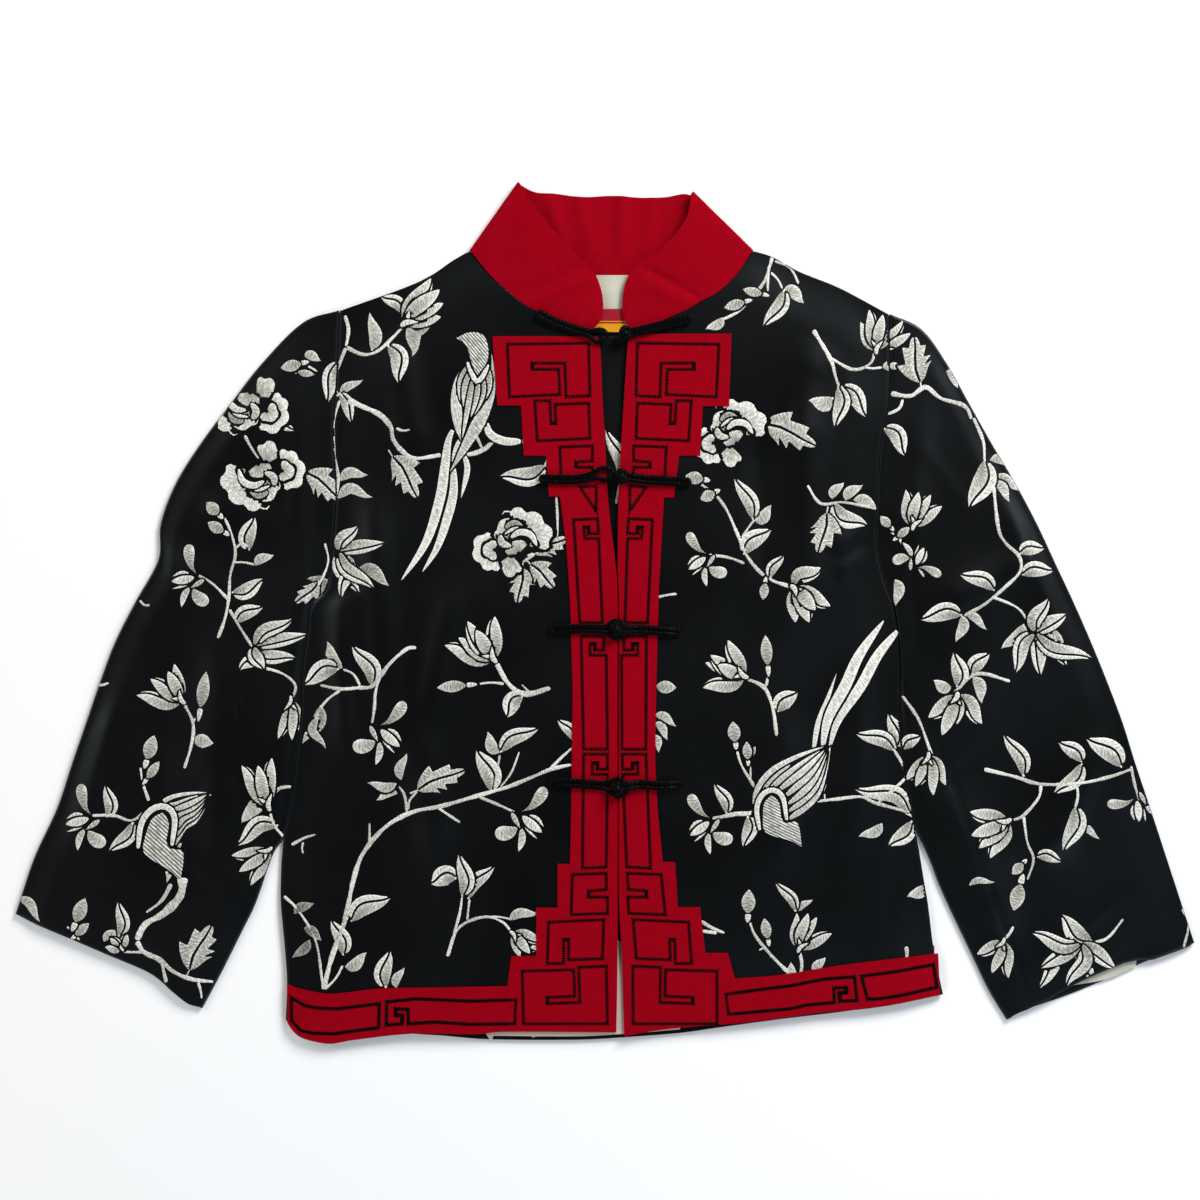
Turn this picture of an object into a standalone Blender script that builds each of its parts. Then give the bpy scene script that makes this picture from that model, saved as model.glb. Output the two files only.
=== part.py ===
"""Tang jacket, laid flat on its back with its sleeves spread and its frogs fastened.

Every size below is in millimetres, and a mesh is turned into metres where it is made.
X runs towards the wearer's left, Y towards the collar and Z up. The underside lies on Z = 0.
Heights go up layer by layer: back panel, lining and underlap, front panels, red trims, frogs.
"""

import math

import bmesh
import bpy
import numpy as np

MM = 0.001
GAP = 0.3  # clear space between two pieces
SEAM = 0.5  # how far an outline steps back from a neighbour that shares its points

BACK_WALL = 1.5  # satin with its lining
FRONT_WALL = 1.3
SLEEVE_WALL = 1.2
TRIM_WALL = 1.0  # one layer of red twill, folded under
LINING_WALL = 1.0
COLLAR_WALL = 2.0  # two layers of twill on a stiffener

BACK_TOP = BACK_WALL
EDGE_TOP = BACK_TOP + GAP + FRONT_WALL  # where a front lies straight on the back, at side and shoulder
BAND_STEP = TRIM_WALL + GAP  # the back climbs this much over its hem band
BAND_DEPTH = 40.0
LINING_TOP = BACK_TOP + GAP + LINING_WALL
HEM_LINING_TOP = LINING_TOP + BAND_STEP
CENTRE_TOP = HEM_LINING_TOP + GAP + FRONT_WALL  # level part of the fronts, under the stepped trims
TRIM_TOP = CENTRE_TOP + GAP + TRIM_WALL
CENTRE_X = 5.0  # middle of the level part
CENTRE_HALF = 100.0
CENTRE_FADE = 60.0  # the level part passes into the soft part over this width
FRONT_PUFF = 1.9  # how far a front's soft part stands above the edges
FRONT_EDGE_FALL = 34.0  # and the width in which it comes down at side and armhole
SHOULDER_FALL = 44.0
SLEEVE_PUFF = 1.7
SLEEVE_EDGE_FALL = 24.0

# Colour (red, green, blue) and roughness of each cloth.
FINISHES = {
    "black_satin": (0.012, 0.013, 0.016, 0.42),
    "red_twill": (0.42, 0.008, 0.018, 0.62),
    "cream_lining": (0.74, 0.71, 0.62, 0.5),
    "label_weave": (0.62, 0.16, 0.04, 0.6),
    "black_cord": (0.01, 0.01, 0.011, 0.45),
}

# Outlines are (x, y). Those of the wearer's right side have x below zero.
SHOULDER_RIGHT = [(-108, 289), (-122, 281), (-138, 270), (-159, 260), (-212, 241)]
SHOULDER_LEFT = [(118, 289), (134, 284), (156, 272), (188, 259), (227, 238)]
ARMHOLE_RIGHT = [(-212, 241), (-214, 197), (-217, 144), (-215, 92), (-218, 50), (-222, 20)]
ARMHOLE_LEFT = [(227, 238), (227, 172), (221, 138), (218, 95), (217, 57), (222, 30), (228, 13)]
SIDE_RIGHT = [(-258, -192), (-259, -210), (-259, -233), (-256, -265), (-254, -294), (-255, -325)]
SIDE_LEFT = [(251, -190), (255, -215), (258, -233), (262, -265), (266, -286), (270, -305)]
FRONT_EDGE_RIGHT = [
    (9, -335), (10, -266), (10, -70), (10, 10), (8, 42), (3, 84), (0, 138), (-2, 170), (-4, 213), (-9, 225),
]
FRONT_EDGE_LEFT = [
    (16, -338), (13, -266), (11, -220), (11, -70), (11, 10), (10, 42), (11, 100), (15, 170), (18, 214), (20, 226),
]
HEM_RIGHT = [
    (-255, -325), (-250, -333), (-243, -339), (-231, -342.5), (-218, -344), (-200, -341), (-154, -336),
    (-103, -336.5), (-78, -334.5), (9, -335),
]
HEM_LEFT = [(16, -338), (38, -334), (63, -331), (114, -327), (166, -320), (217, -315), (270, -305)]
HEM_BACK = [
    (-255, -325), (-243, -336), (-218, -341), (-180, -336), (-132, -338), (-94, -341), (-25, -341.5),
    (15, -339.5), (60, -336), (92, -331.5), (140, -325), (204, -317), (270, -305),
]
BAND_TOP_RIGHT = [(-254, -296), (-244, -300), (-218, -304), (-180, -300), (-129, -299), (-78.5, -298)]
BAND_TOP_LEFT = [(104.5, -292), (140, -289), (191, -281), (266, -272)]
TRIM_STEPS_RIGHT = [
    (-9, 220), (-50, 221), (-90, 221), (-86, 166), (-67, 164), (-65, 126), (-47, 124), (-45, 93), (-36, 92),
    (-31, 53), (-28, 10), (-26, -62), (-27, -150), (-28, -200), (-38, -201), (-38, -235), (-55, -236),
    (-55, -273), (-75, -275), (-78, -298), (-78, -334.5),
]
TRIM_STEPS_LEFT = [
    (19, 220), (60, 222), (101, 224), (99, 166), (78, 163), (76, 126), (59, 124), (55, 92), (47, 91),
    (45, 54), (43, 18), (41, -54), (40, -118), (42, -158), (46, -198), (56, -200), (58, -234), (76, -236),
    (80, -271), (98, -272), (104, -292), (104, -327.8),
]

# A sleeve, section by section from the armhole to the cuff: its two folds in plan.
# Columns: outer_x, outer_y, inner_x, inner_y.
SLEEVE_RIGHT = [
    (-212, 241, -222, 20), (-241, 231, -235, 4), (-273, 199, -238, -16), (-298, 167, -242, -50),
    (-322, 135, -243, -82), (-342, 103, -247, -118), (-354, 71, -250, -146), (-356, 42, -256, -177),
    (-375, 7, -264, -190), (-391, -25, -270, -205), (-403, -57, -275, -220), (-414, -89, -281, -236),
    (-425, -121, -288, -250), (-437, -157, -297, -268), (-455, -196, -307, -288), (-470, -241, -322, -316),
]
SLEEVE_LEFT = [
    (227, 238, 228, 13), (252, 226, 232, 0), (272, 199, 236, -30), (290, 167, 236, -60),
    (308, 135, 236, -90), (327, 103, 239, -122), (344, 71, 243, -145), (359, 39, 247, -169),
    (374, 7, 254, -185), (388, -25, 261, -201), (401, -57, 267, -217), (413, -89, 275, -235),
    (423, -121, 284, -254), (436, -160, 295, -277), (453, -212, 307, -302), (470, -264, 321, -325),
]
BODY_ROWS = 8  # sections whose inner fold lies along the body's side
CUFF_RIGHT = [(-470, -241), (-450, -251), (-402, -272), (-363, -289), (-344, -304), (-332, -313), (-322, -316)]
CUFF_LEFT = [(470, -264), (463, -268), (430, -280), (394, -296), (364, -308), (332, -319), (321, -325)]
# How far the upper layer of the wearer's left cuff falls short of the lower one.
# Columns: share of the cuff's width, shortfall.
CUFF_EVEN = [(0.0, 0), (1.0, 0)]
CUFF_LEFT_SHORT = [(0.0, 0), (0.22, 0), (0.35, 8), (0.5, 10), (0.66, 13), (0.78, 7), (0.9, 0), (1.0, 0)]
CUFF_LINING_LEFT = [
    (341, -309), (358, -302), (374, -298), (401, -293), (424, -283), (426, -270), (412, -270),
    (383, -280), (362, -284), (346, -295),
]

# The collar band from its end at the wearer's right front, round the back, to its end at the left front.
# Columns: seam_x, seam_y, seam_z, top_x, top_y, top_z, at the middle of the wall.
COLLAR_RIGHT = [
    (-9, 226, 5.6, -1.5, 236, 5.6), (-16, 227.5, 5.6, -2, 252, 5.9), (-24, 229.5, 5.6, -6, 266, 6.2),
    (-36, 233, 5.5, -12, 276, 6.5), (-48, 238, 5.3, -23, 286, 6.7), (-64, 246, 5.0, -35, 299, 6.8),
    (-78, 257, 4.7, -46, 311, 6.8), (-93, 271, 4.3, -57, 325, 6.6),
]
COLLAR_BACK = [
    (-86, 279.5, 1.0, -56, 336, 1.0), (-62, 273.5, 1.0, -38, 334.5, 1.0), (-34, 270.5, 1.0, -18, 332, 1.0),
    (5, 269, 1.0, 5, 333, 1.0), (42, 270.5, 1.0, 30, 331.5, 1.0), (72, 274, 1.0, 48, 332, 1.0),
    (96, 280, 1.0, 62, 334.5, 1.0),
]
COLLAR_LEFT = [
    (104, 269, 4.3, 66, 318, 6.6), (90, 256, 4.7, 58, 304, 6.8), (74, 247, 5.0, 46, 292, 6.8),
    (58, 238.5, 5.3, 33, 281, 6.7), (45, 233, 5.5, 23, 275, 6.5), (35, 229.5, 5.6, 17, 265, 6.2),
    (27, 227.5, 5.6, 14, 250, 5.9), (20, 226, 5.6, 14.5, 236, 5.6),
]
# Where the band turns back on itself: the fold line, then how far the two layers part at each end of it.
# Columns: seam_x, seam_y, top_x, top_y, seam_rise, top_rise.
FOLD_RIGHT = (-108, 289, -70, 343.5, 3.0, 5.2)
FOLD_LEFT = (118, 289, 71, 336, 3.0, 5.2)
FOLD_SEAM_RIGHT = (-109, 287)  # the back's neckline stays clear of the folded band here
FOLD_SEAM_LEFT = (119, 287)

# Soft folds of the cloth. Columns: start_x, start_y, end_x, end_y, half width, height.
FRONT_FOLDS = [
    (-205, 95, -190, -150, 16, 1.6), (-170, 230, -150, 110, 18, 1.2), (-160, -60, -120, -230, 20, 1.2),
    (215, 75, 178, 48, 8, 1.5), (214, 50, 182, 28, 8, 1.3), (205, -20, 196, -210, 16, 1.5),
    (170, 225, 150, 120, 18, 1.2), (150, -70, 130, -220, 20, 1.1),
]
SLEEVE_FOLDS = [
    (-350, 55, -265, -20, 14, 1.4), (-330, 90, -250, 60, 16, 1.2), (-390, -80, -300, -170, 18, 1.2),
    (-235, 190, -245, 40, 14, 1.2), (250, 190, 240, 20, 14, 1.2), (350, 50, 262, 0, 14, 1.4),
    (270, -130, 330, -270, 14, 1.4), (400, -90, 345, -210, 18, 1.2),
]

# Frog fasteners. The loop runs from its outer end to its eye, and the knot side from the ball to its outer end.
# The drop is how far the outer ends come down beside the trim, where they reach past it.
FROGS = [
    {"name": "neck", "loop": (-55, 241), "eye": (-3, 220), "eye_radius": 4.2, "ball": (16, 222), "end": (69, 234),
     "drop": 0.0},
    {"name": "chest", "loop": (-49, 106), "eye": (1, 110), "eye_radius": 5.0, "ball": (13, 108), "end": (65, 104),
     "drop": 0.0},
    {"name": "waist", "loop": (-40, -13.5), "eye": (9, -13.5), "eye_radius": 6.4, "ball": (9, -13.5),
     "end": (57, -15), "drop": GAP + TRIM_WALL},
    {"name": "lower", "loop": (-41.5, -135), "eye": (10, -138), "eye_radius": 6.4, "ball": (10, -138),
     "end": (58, -137.5), "drop": GAP + TRIM_WALL},
]
CORD_RADIUS = 1.6
CORD_SPREAD = 1.8  # each of the two cords of an arm lies this far from its middle
BALL_RADIUS = 5.6
BALL_LIFT = 4.2  # middle of the ball above the middle of the cords
CORD_Z = TRIM_TOP + GAP + CORD_RADIUS


def smooth(t):
    """0 up to t = 0, then an even S to 1 at t = 1."""
    t = np.clip(t, 0.0, 1.0)
    return t * t * (3.0 - 2.0 * t)


def curve_through(points, spacing=14.0):
    """Points about `spacing` apart on a smooth curve through the given ones (Catmull-Rom)."""
    known = np.array(points, float)
    ends = np.vstack([2 * known[0] - known[1], known, 2 * known[-1] - known[-2]])
    line = []
    for a, b, c, d in zip(ends, ends[1:], ends[2:], ends[3:]):
        count = max(1, round(float(np.hypot(*(c - b))) / spacing))
        t = np.arange(count)[:, None] / count
        line.append(
            b + 0.5 * t * (c - a + t * (2 * a - 5 * b + 4 * c - d + t * (3 * (b - c) + d - a)))
        )
    return np.vstack([*line, known[-1:]])


def share_along(points, shares):
    """The points at these shares of a polyline's length."""
    line = np.array(points, float)
    length = np.concatenate([[0.0], np.cumsum(np.hypot(*np.diff(line, axis=0).T))])
    at = np.asarray(shares) * length[-1]
    return np.stack([np.interp(at, length, line[:, 0]), np.interp(at, length, line[:, 1])], axis=-1)


def level_of(line, x):
    """The y of an outline at x, where x runs one way along it."""
    known = curve_through(line)
    order = np.argsort(known[:, 0])
    return np.interp(x, known[order, 0], known[order, 1])


def ridges(table, x, y):
    """Height of all soft folds at (x, y): each is a bell across its line and fades towards its ends."""
    height = np.zeros_like(x)
    for x0, y0, x1, y1, half_width, rise in table:
        length = math.hypot(x1 - x0, y1 - y0)
        along_x, along_y = (x1 - x0) / length, (y1 - y0) / length
        along = (x - x0) * along_x + (y - y0) * along_y
        across = (y - y0) * along_x - (x - x0) * along_y
        fade = smooth(along / 30.0) * smooth((length - along) / 30.0)
        height += rise * np.exp(-((across / half_width) ** 2)) * fade
    return height


def back_rise(x, y):
    """Underside of the back: flat on the ground, and one band higher over the hem band."""
    above_hem = y - level_of(HEM_BACK, x)
    return BAND_STEP * (1.0 - smooth((above_hem - 50.0) / 26.0))


def back_top(x, y):
    return BACK_TOP + back_rise(x, y)


def side_reach(x, y):
    """How far (x, y) lies inside the nearer side or armhole."""
    right = np.array(body_side(SLEEVE_RIGHT, ARMHOLE_RIGHT, SIDE_RIGHT))
    left = np.array(body_side(SLEEVE_LEFT, ARMHOLE_LEFT, SIDE_LEFT))
    right_x = np.interp(-y, -right[:, 1], right[:, 0])
    left_x = np.interp(-y, -left[:, 1], left[:, 0])
    return np.minimum(x - right_x, left_x - x)


def front_top(x, y):
    """Upper side of the fronts: level under the trims, soft folds beside them, down on the back at the edges."""
    hem = np.where(x < CENTRE_X, level_of(HEM_RIGHT, x), level_of(HEM_LEFT, x))
    hem_rise = BAND_STEP * smooth((120.0 - (y - hem)) / 50.0)
    shoulder = np.where(x < CENTRE_X, level_of(SHOULDER_RIGHT, x), level_of(SHOULDER_LEFT, x))
    from_shoulder = np.where(np.abs(x - CENTRE_X) > 108.0, shoulder - y, 289.0 - y)
    inside = smooth(side_reach(x, y) / FRONT_EDGE_FALL) * smooth(from_shoulder / SHOULDER_FALL)
    soft = EDGE_TOP + hem_rise + (FRONT_PUFF + ridges(FRONT_FOLDS, x, y)) * inside
    central = smooth((CENTRE_HALF + CENTRE_FADE - np.abs(x - CENTRE_X)) / CENTRE_FADE)
    central = np.where(y < 200.0, central, central * inside)  # it falls away towards the shoulders only
    return soft + (CENTRE_TOP - soft) * central


def body_side(sleeve, armhole, side):
    """A front's or the back's edge from the shoulder down: armhole, then the sleeve's inner fold, then the side."""
    inner = [(row[2], row[3]) for row in sleeve[1:BODY_ROWS]]
    return [tuple(p) for p in share_along(armhole, LAYER_SHARES)] + inner + list(side)


def stepped_back(points, inward):
    """Points moved sideways by the seam gap, so that the neighbour that shares them stays clear."""
    return [(x + inward * SEAM, y) for x, y in points]


def finish_of(name):
    material = bpy.data.materials.get(name) or bpy.data.materials.new(name)
    red, green, blue, rough = FINISHES[name]
    material.use_nodes = True
    shader = material.node_tree.nodes["Principled BSDF"]
    shader.inputs["Base Color"].default_value = (red, green, blue, 1.0)
    shader.inputs["Roughness"].default_value = rough
    shader.inputs["Metallic"].default_value = 0.0
    material.diffuse_color = (red, green, blue, 1.0)
    return material


def add_object(name, data, finish):
    piece = bpy.data.objects.new(name, data)
    data.materials.append(finish_of(finish))
    jacket.objects.link(piece)
    return piece


def thicken(piece, wall, offset):
    """Gives an open sheet its wall: offset -1 puts it all on the inner side, 0 half on each side."""
    solid = piece.modifiers.new("wall", "SOLIDIFY")
    solid.thickness = wall * MM
    solid.offset = offset


def flat_piece(name, finish, outline, top, wall, cuts_x=(), cuts_y=()):
    """A cut piece of cloth: its outline is filled, sliced along x and y so that it can bend, lifted to
    top(x, y) and thickened downwards."""
    points = np.array(outline, float)
    following = np.roll(points, -1, axis=0)
    if np.sum(points[:, 0] * following[:, 1] - following[:, 0] * points[:, 1]) < 0:
        points = points[::-1]
    sheet = bmesh.new()
    sheet.faces.new([sheet.verts.new((x, y, 0.0)) for x, y in points])
    for axis, places in enumerate((cuts_x, cuts_y)):
        for place in places:
            middle, normal = [0.0, 0.0, 0.0], [0.0, 0.0, 0.0]
            middle[axis], normal[axis] = place, 1.0
            geometry = sheet.verts[:] + sheet.edges[:] + sheet.faces[:]
            bmesh.ops.bisect_plane(sheet, geom=geometry, dist=0.05, plane_co=middle, plane_no=normal)
    flat = np.array([vert.co for vert in sheet.verts])
    heights = top(flat[:, 0], flat[:, 1])
    for vert, height in zip(sheet.verts, heights):
        vert.co = (vert.co.x * MM, vert.co.y * MM, height * MM)
    data = bpy.data.meshes.new(name)
    sheet.to_mesh(data)
    sheet.free()
    piece = add_object(name, data, finish)
    thicken(piece, wall, -1.0)
    return piece


def level(height):
    return lambda x, y: np.full_like(x, height)


def sheet_from_grid(name, finish, points, wall, offset, closed):
    """A grid of points (rows, columns, xyz) as a sheet, its first and last columns joined if it is a tube."""
    rows, columns = points.shape[:2]
    sheet = bmesh.new()
    bmesh.ops.create_grid(sheet, x_segments=rows - 1, y_segments=columns - 1, size=1.0)
    sheet.verts.ensure_lookup_table()
    order = sorted(sheet.verts, key=lambda vert: (round(vert.co.x, 5), round(vert.co.y, 5)))
    for vert, place in zip(order, points.reshape(-1, 3)):
        vert.co = place * MM
    if closed:
        bmesh.ops.remove_doubles(sheet, verts=sheet.verts, dist=0.02 * MM)
    bmesh.ops.recalc_face_normals(sheet, faces=sheet.faces)
    data = bpy.data.meshes.new(name)
    sheet.to_mesh(data)
    sheet.free()
    piece = add_object(name, data, finish)
    thicken(piece, wall, offset)
    return piece


# Places across each layer of a sleeve, as shares of its width, and round each fold.
LAYER_SHARES = np.linspace(0.0, 1.0, 11)
FOLD_ANGLES = np.radians([60.0, 30.0, 0.0, -30.0, -60.0])


def sleeve_ring():
    """Once round a flattened sleeve: share across, push towards the outer fold and height, the last two in
    fold radii. It goes over the top, round the inner fold, back underneath and round the outer fold."""
    upper = [(share, 1.0 - 2.0 * share, 1.0) for share in LAYER_SHARES]
    inner = [(1.0, -1.0 + math.cos(angle), math.sin(angle)) for angle in FOLD_ANGLES]
    lower = [(share, 1.0 - 2.0 * share, -1.0) for share in LAYER_SHARES[::-1]]
    outer = [(0.0, 1.0 - math.cos(angle), -math.sin(angle)) for angle in FOLD_ANGLES]
    return np.array([*upper, *inner, *lower, *outer, upper[0]])


def sleeve(name, rows, armhole, cuff, short, gap_side):
    """A set-in sleeve pressed flat: a closed ring at each section, from the armhole to the open cuff."""
    table = np.array(rows, float)
    outer, inner = table[:, None, 0:2], table[:, None, 2:4]
    ring = sleeve_ring()
    share, push, height = ring[:, 0], ring[:, 1], ring[:, 2]
    down = np.linspace(0.0, 1.0, len(table))[:, None, None]
    straight = outer + (inner - outer) * share[None, :, None]
    bow_top = share_along(armhole, share) - straight[0]
    bow_cuff = share_along(cuff, share) - straight[-1]
    plan = straight + bow_top * (1.0 - down) ** 3 + bow_cuff * down**6
    across = (inner - outer) / np.linalg.norm(inner - outer, axis=2, keepdims=True)
    radius = EDGE_TOP / 2.0
    plan = plan + across * (push * radius)[None, :, None]
    upper = (height >= 0.99)[None, :]
    towards_armhole = table[-3:-2, 0:2] + table[-3:-2, 2:4] - table[-1:, 0:2] - table[-1:, 2:4]
    towards_armhole = towards_armhole / np.linalg.norm(towards_armhole)
    short_share, short_by = np.array(short, float).T
    shortfall = np.interp(share, short_share, short_by)[None, :] * upper * down[:, :, 0] ** 12
    plan = plan + shortfall[:, :, None] * towards_armhole[None]
    plan[:, :, 0] += gap_side * SEAM
    width = np.linalg.norm(inner - outer, axis=2)
    from_fold = np.minimum(share, 1.0 - share)[None, :] * width
    body = smooth(from_fold / SLEEVE_EDGE_FALL) * smooth(down[:, :, 0] / 0.12)
    puff = (SLEEVE_PUFF + ridges(SLEEVE_FOLDS, plan[:, :, 0], plan[:, :, 1])) * body * upper
    points = np.empty(plan.shape[:2] + (3,))
    points[:, :, 0:2] = plan
    points[:, :, 2] = radius * (1.0 + height)[None, :] + puff
    return sheet_from_grid(name, "black_satin", points, SLEEVE_WALL, -1.0, closed=True)


def folded_sections(fold, to_front):
    """Sections of the collar band round one fold: half a turn about a line inside the fold's edge."""
    seam_x, seam_y, top_x, top_y, seam_rise, top_rise = fold
    seam, top = np.array([seam_x, seam_y], float), np.array([top_x, top_y], float)
    along = (top - seam) / np.linalg.norm(top - seam)
    outward = np.array([-along[1], along[0]]) * (-1.0 if seam_x > 0 else 1.0)
    sections = []
    for angle in np.radians([60.0, 20.0, -20.0, -60.0]):
        section = []
        for place, rise in ((seam, seam_rise), (top, top_rise)):
            half = rise / 2.0
            edge = place - outward * (COLLAR_WALL / 2.0 + half * (1.0 - math.cos(angle)))
            section += [*edge, COLLAR_WALL / 2.0 + half * (1.0 + math.sin(angle))]
        sections.append(section)
    return sections if to_front else sections[::-1]


def collar():
    """The stand collar: one stiff band that runs from one front end round the back neck to the other, lying
    on its outer face at the back and folded over at both sides, so that the front ends lie on top."""
    rows = [
        *COLLAR_RIGHT,
        *folded_sections(FOLD_RIGHT, to_front=True),
        *COLLAR_BACK,
        *folded_sections(FOLD_LEFT, to_front=False),
        *COLLAR_LEFT,
    ]
    table = np.array(rows, float)
    seam, top = table[:, None, 0:3], table[:, None, 3:6]
    share = np.linspace(0.0, 1.0, 6)[None, :, None]
    points = seam + (top - seam) * share
    return sheet_from_grid("collar", "red_twill", points, COLLAR_WALL, 0.0, closed=False)


def neck_edge(rows):
    """The neckline of a panel: the collar's seam, stepped back."""
    return [(row[0], row[1] - SEAM) for row in rows]


def front(name, edge, collar_rows, shoulder, sleeve_rows, armhole, side, hem, inward):
    """A front panel: centre edge upwards, neckline, shoulder, armhole and side downwards, then the hem."""
    neckline = neck_edge(collar_rows) + [(shoulder[0][0], shoulder[0][1] - SEAM)]
    outline = [
        *curve_through(edge, 20.0)[:-1],
        *neckline,
        *curve_through(shoulder, 20.0)[1:-1],
        *stepped_back(body_side(sleeve_rows, armhole, side), inward)[:-1],
        *curve_through(hem, 16.0)[1:-1][:: 1 if inward > 0 else -1],
    ]
    return flat_piece(
        name, "black_satin", outline, front_top, FRONT_WALL, np.arange(-240, 262, 22), np.arange(-330, 280, 22)
    )


def back():
    right = stepped_back(body_side(SLEEVE_RIGHT, ARMHOLE_RIGHT, SIDE_RIGHT), 1.0)
    left = stepped_back(body_side(SLEEVE_LEFT, ARMHOLE_LEFT, SIDE_LEFT), -1.0)
    neck = [*neck_edge([FOLD_SEAM_RIGHT]), *neck_edge(COLLAR_BACK), *neck_edge([FOLD_SEAM_LEFT])]
    outline = [
        *right,
        *curve_through(HEM_BACK, 16.0)[1:-1],
        *left[::-1],
        *curve_through(SHOULDER_LEFT, 30.0)[1:-1][::-1],
        *neck[::-1],
        *curve_through(SHOULDER_RIGHT, 30.0)[1:-1],
    ]
    cuts_y = [-323, -310, -299, -292, -286, -280, -273, -266, -259, -252, -245, -238, -230]
    return flat_piece("back_panel", "black_satin", outline, back_top, BACK_WALL, np.arange(-210, 240, 60), cuts_y)


def on_front(x, y):
    return front_top(x, y) + GAP + TRIM_WALL


def trim(name, steps, edge, hem_stretch):
    """A stepped trim: down the outer steps from the neck, along the hem and up the centre edge."""
    edge_line = curve_through(edge, 20.0)
    up_edge = edge_line[edge_line[:, 1] < 219.0]
    outline = [*steps, *hem_stretch, *up_edge]
    return flat_piece(
        name, "red_twill", outline, on_front, TRIM_WALL, np.arange(-80, 102, 20), np.arange(-330, 220, 20)
    )


def hem_band(name, top_line, hem, low_x, high_x):
    """A hem band on a front, between its upper edge and the front's own hem, from low_x to high_x."""
    upper = curve_through(top_line, 16.0)
    lower = curve_through(hem, 16.0)
    lower = lower[(lower[:, 0] > low_x) & (lower[:, 0] < high_x)]
    ends = [(x, float(level_of(hem, x))) for x in (low_x, high_x)]
    outline = [*upper, ends[1], *lower[::-1], ends[0]]
    return flat_piece(
        name, "red_twill", outline, on_front, TRIM_WALL, np.arange(-240, 262, 20), np.arange(-330, 280, 20)
    )


def back_hem_band():
    """The band round the back's hem, flat on the ground under the panel."""
    low_x, high_x = -253.0, 264.0
    line = curve_through(HEM_BACK, 24.0)
    inner = line[(line[:, 0] > low_x) & (line[:, 0] < high_x)]
    lower = [(x, float(level_of(HEM_BACK, x))) for x in (low_x, *inner[:, 0], high_x)]
    upper = [(x, y + BAND_DEPTH) for x, y in lower]
    return flat_piece("back_hem_band", "red_twill", [*lower, *upper[::-1]], level(TRIM_WALL), TRIM_WALL)


def cord(name, points, cyclic):
    """A satin cord: a round tube along the points."""
    data = bpy.data.curves.new(name, "CURVE")
    data.dimensions = "3D"
    data.bevel_depth = CORD_RADIUS * MM
    data.bevel_resolution = 2
    data.use_fill_caps = True
    line = data.splines.new("POLY")
    line.points.add(len(points) - 1)
    line.points.foreach_set("co", np.column_stack([np.array(points) * MM, np.ones(len(points))]).ravel())
    line.use_cyclic_u = cyclic
    return add_object(name, data, "black_cord")


def frog_loop(name, end, eye, eye_radius, drop):
    """Loop side of a frog: two cords side by side that part round the eye and turn under at the outer end."""
    end, eye = np.array(end, float), np.array(eye, float)
    along = (eye - end) / np.linalg.norm(eye - end)
    aside = np.array([-along[1], along[0]])
    reach = np.linalg.norm(eye - end)
    straight = [3.0, 8.0, 14.0, *np.arange(22.0, reach - eye_radius - 5.0, 8.0), reach - eye_radius - 4.0]
    heights = [CORD_Z - drop if s < 5.0 else CORD_Z for s in straight]
    upper = [(along * s + aside * CORD_SPREAD, height) for s, height in zip(straight, heights)]
    lower = [(along * s - aside * CORD_SPREAD, height) for s, height in zip(straight, heights)][::-1]
    turns = np.radians(np.linspace(135.0, -135.0, 11))
    ring = [
        (along * (reach + eye_radius * math.cos(a)) + aside * eye_radius * math.sin(a), CORD_Z) for a in turns
    ]
    start = [(along - aside * 1.1, CORD_Z - drop), (along + aside * 1.1, CORD_Z - drop)]
    points = [(*(end + place), height) for place, height in [*start, *upper, *ring, *lower]]
    return cord(f"frog_{name}_loop", points, cyclic=True)


def frog_knot(name, ball, end, over_loop, drop):
    """Knot side of a frog: two cords from the ball to the outer end. Where the loop goes round the ball, they
    leave it above the loop."""
    ball, end = np.array(ball, float), np.array(end, float)
    along = (end - ball) / np.linalg.norm(end - ball)
    aside = np.array([-along[1], along[0]])
    reach = np.linalg.norm(end - ball)
    rise = CORD_RADIUS * 2.0 + GAP if over_loop else 0.0
    near = [(6.4, rise), (9.0, rise), (12.0, rise * 0.45), (15.5, 0.0), (21.0, 0.0)]
    far = [(s, 0.0) for s in np.arange(29.0, reach - 7.0, 8.0)]
    tail = [(reach - 7.0, 0.0), (reach - 2.5, -drop)]
    places = [*near, *far, *tail]
    out = [(along * s + aside * CORD_SPREAD, CORD_Z + lift) for s, lift in places]
    back_again = [(along * s - aside * CORD_SPREAD, CORD_Z + lift) for s, lift in places[::-1]]
    turn = [(along * (reach - 0.6) + aside * side, CORD_Z - drop) for side in (1.0, -1.0)]
    points = [(*(ball + place), height) for place, height in [*out, *turn, *back_again]]
    cord(f"frog_{name}_knot_cord", points, cyclic=False)
    knot = bmesh.new()
    bmesh.ops.create_uvsphere(knot, u_segments=12, v_segments=8, radius=BALL_RADIUS * MM)
    data = bpy.data.meshes.new(f"frog_{name}_ball")
    knot.to_mesh(data)
    knot.free()
    data.shade_smooth()
    piece = add_object(f"frog_{name}_ball", data, "black_cord")
    piece.location = (ball[0] * MM, ball[1] * MM, (CORD_Z + BALL_LIFT) * MM)


def rectangle(x0, y0, x1, y1):
    return [(x0, y0), (x1, y0), (x1, y1), (x0, y1)]


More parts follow.
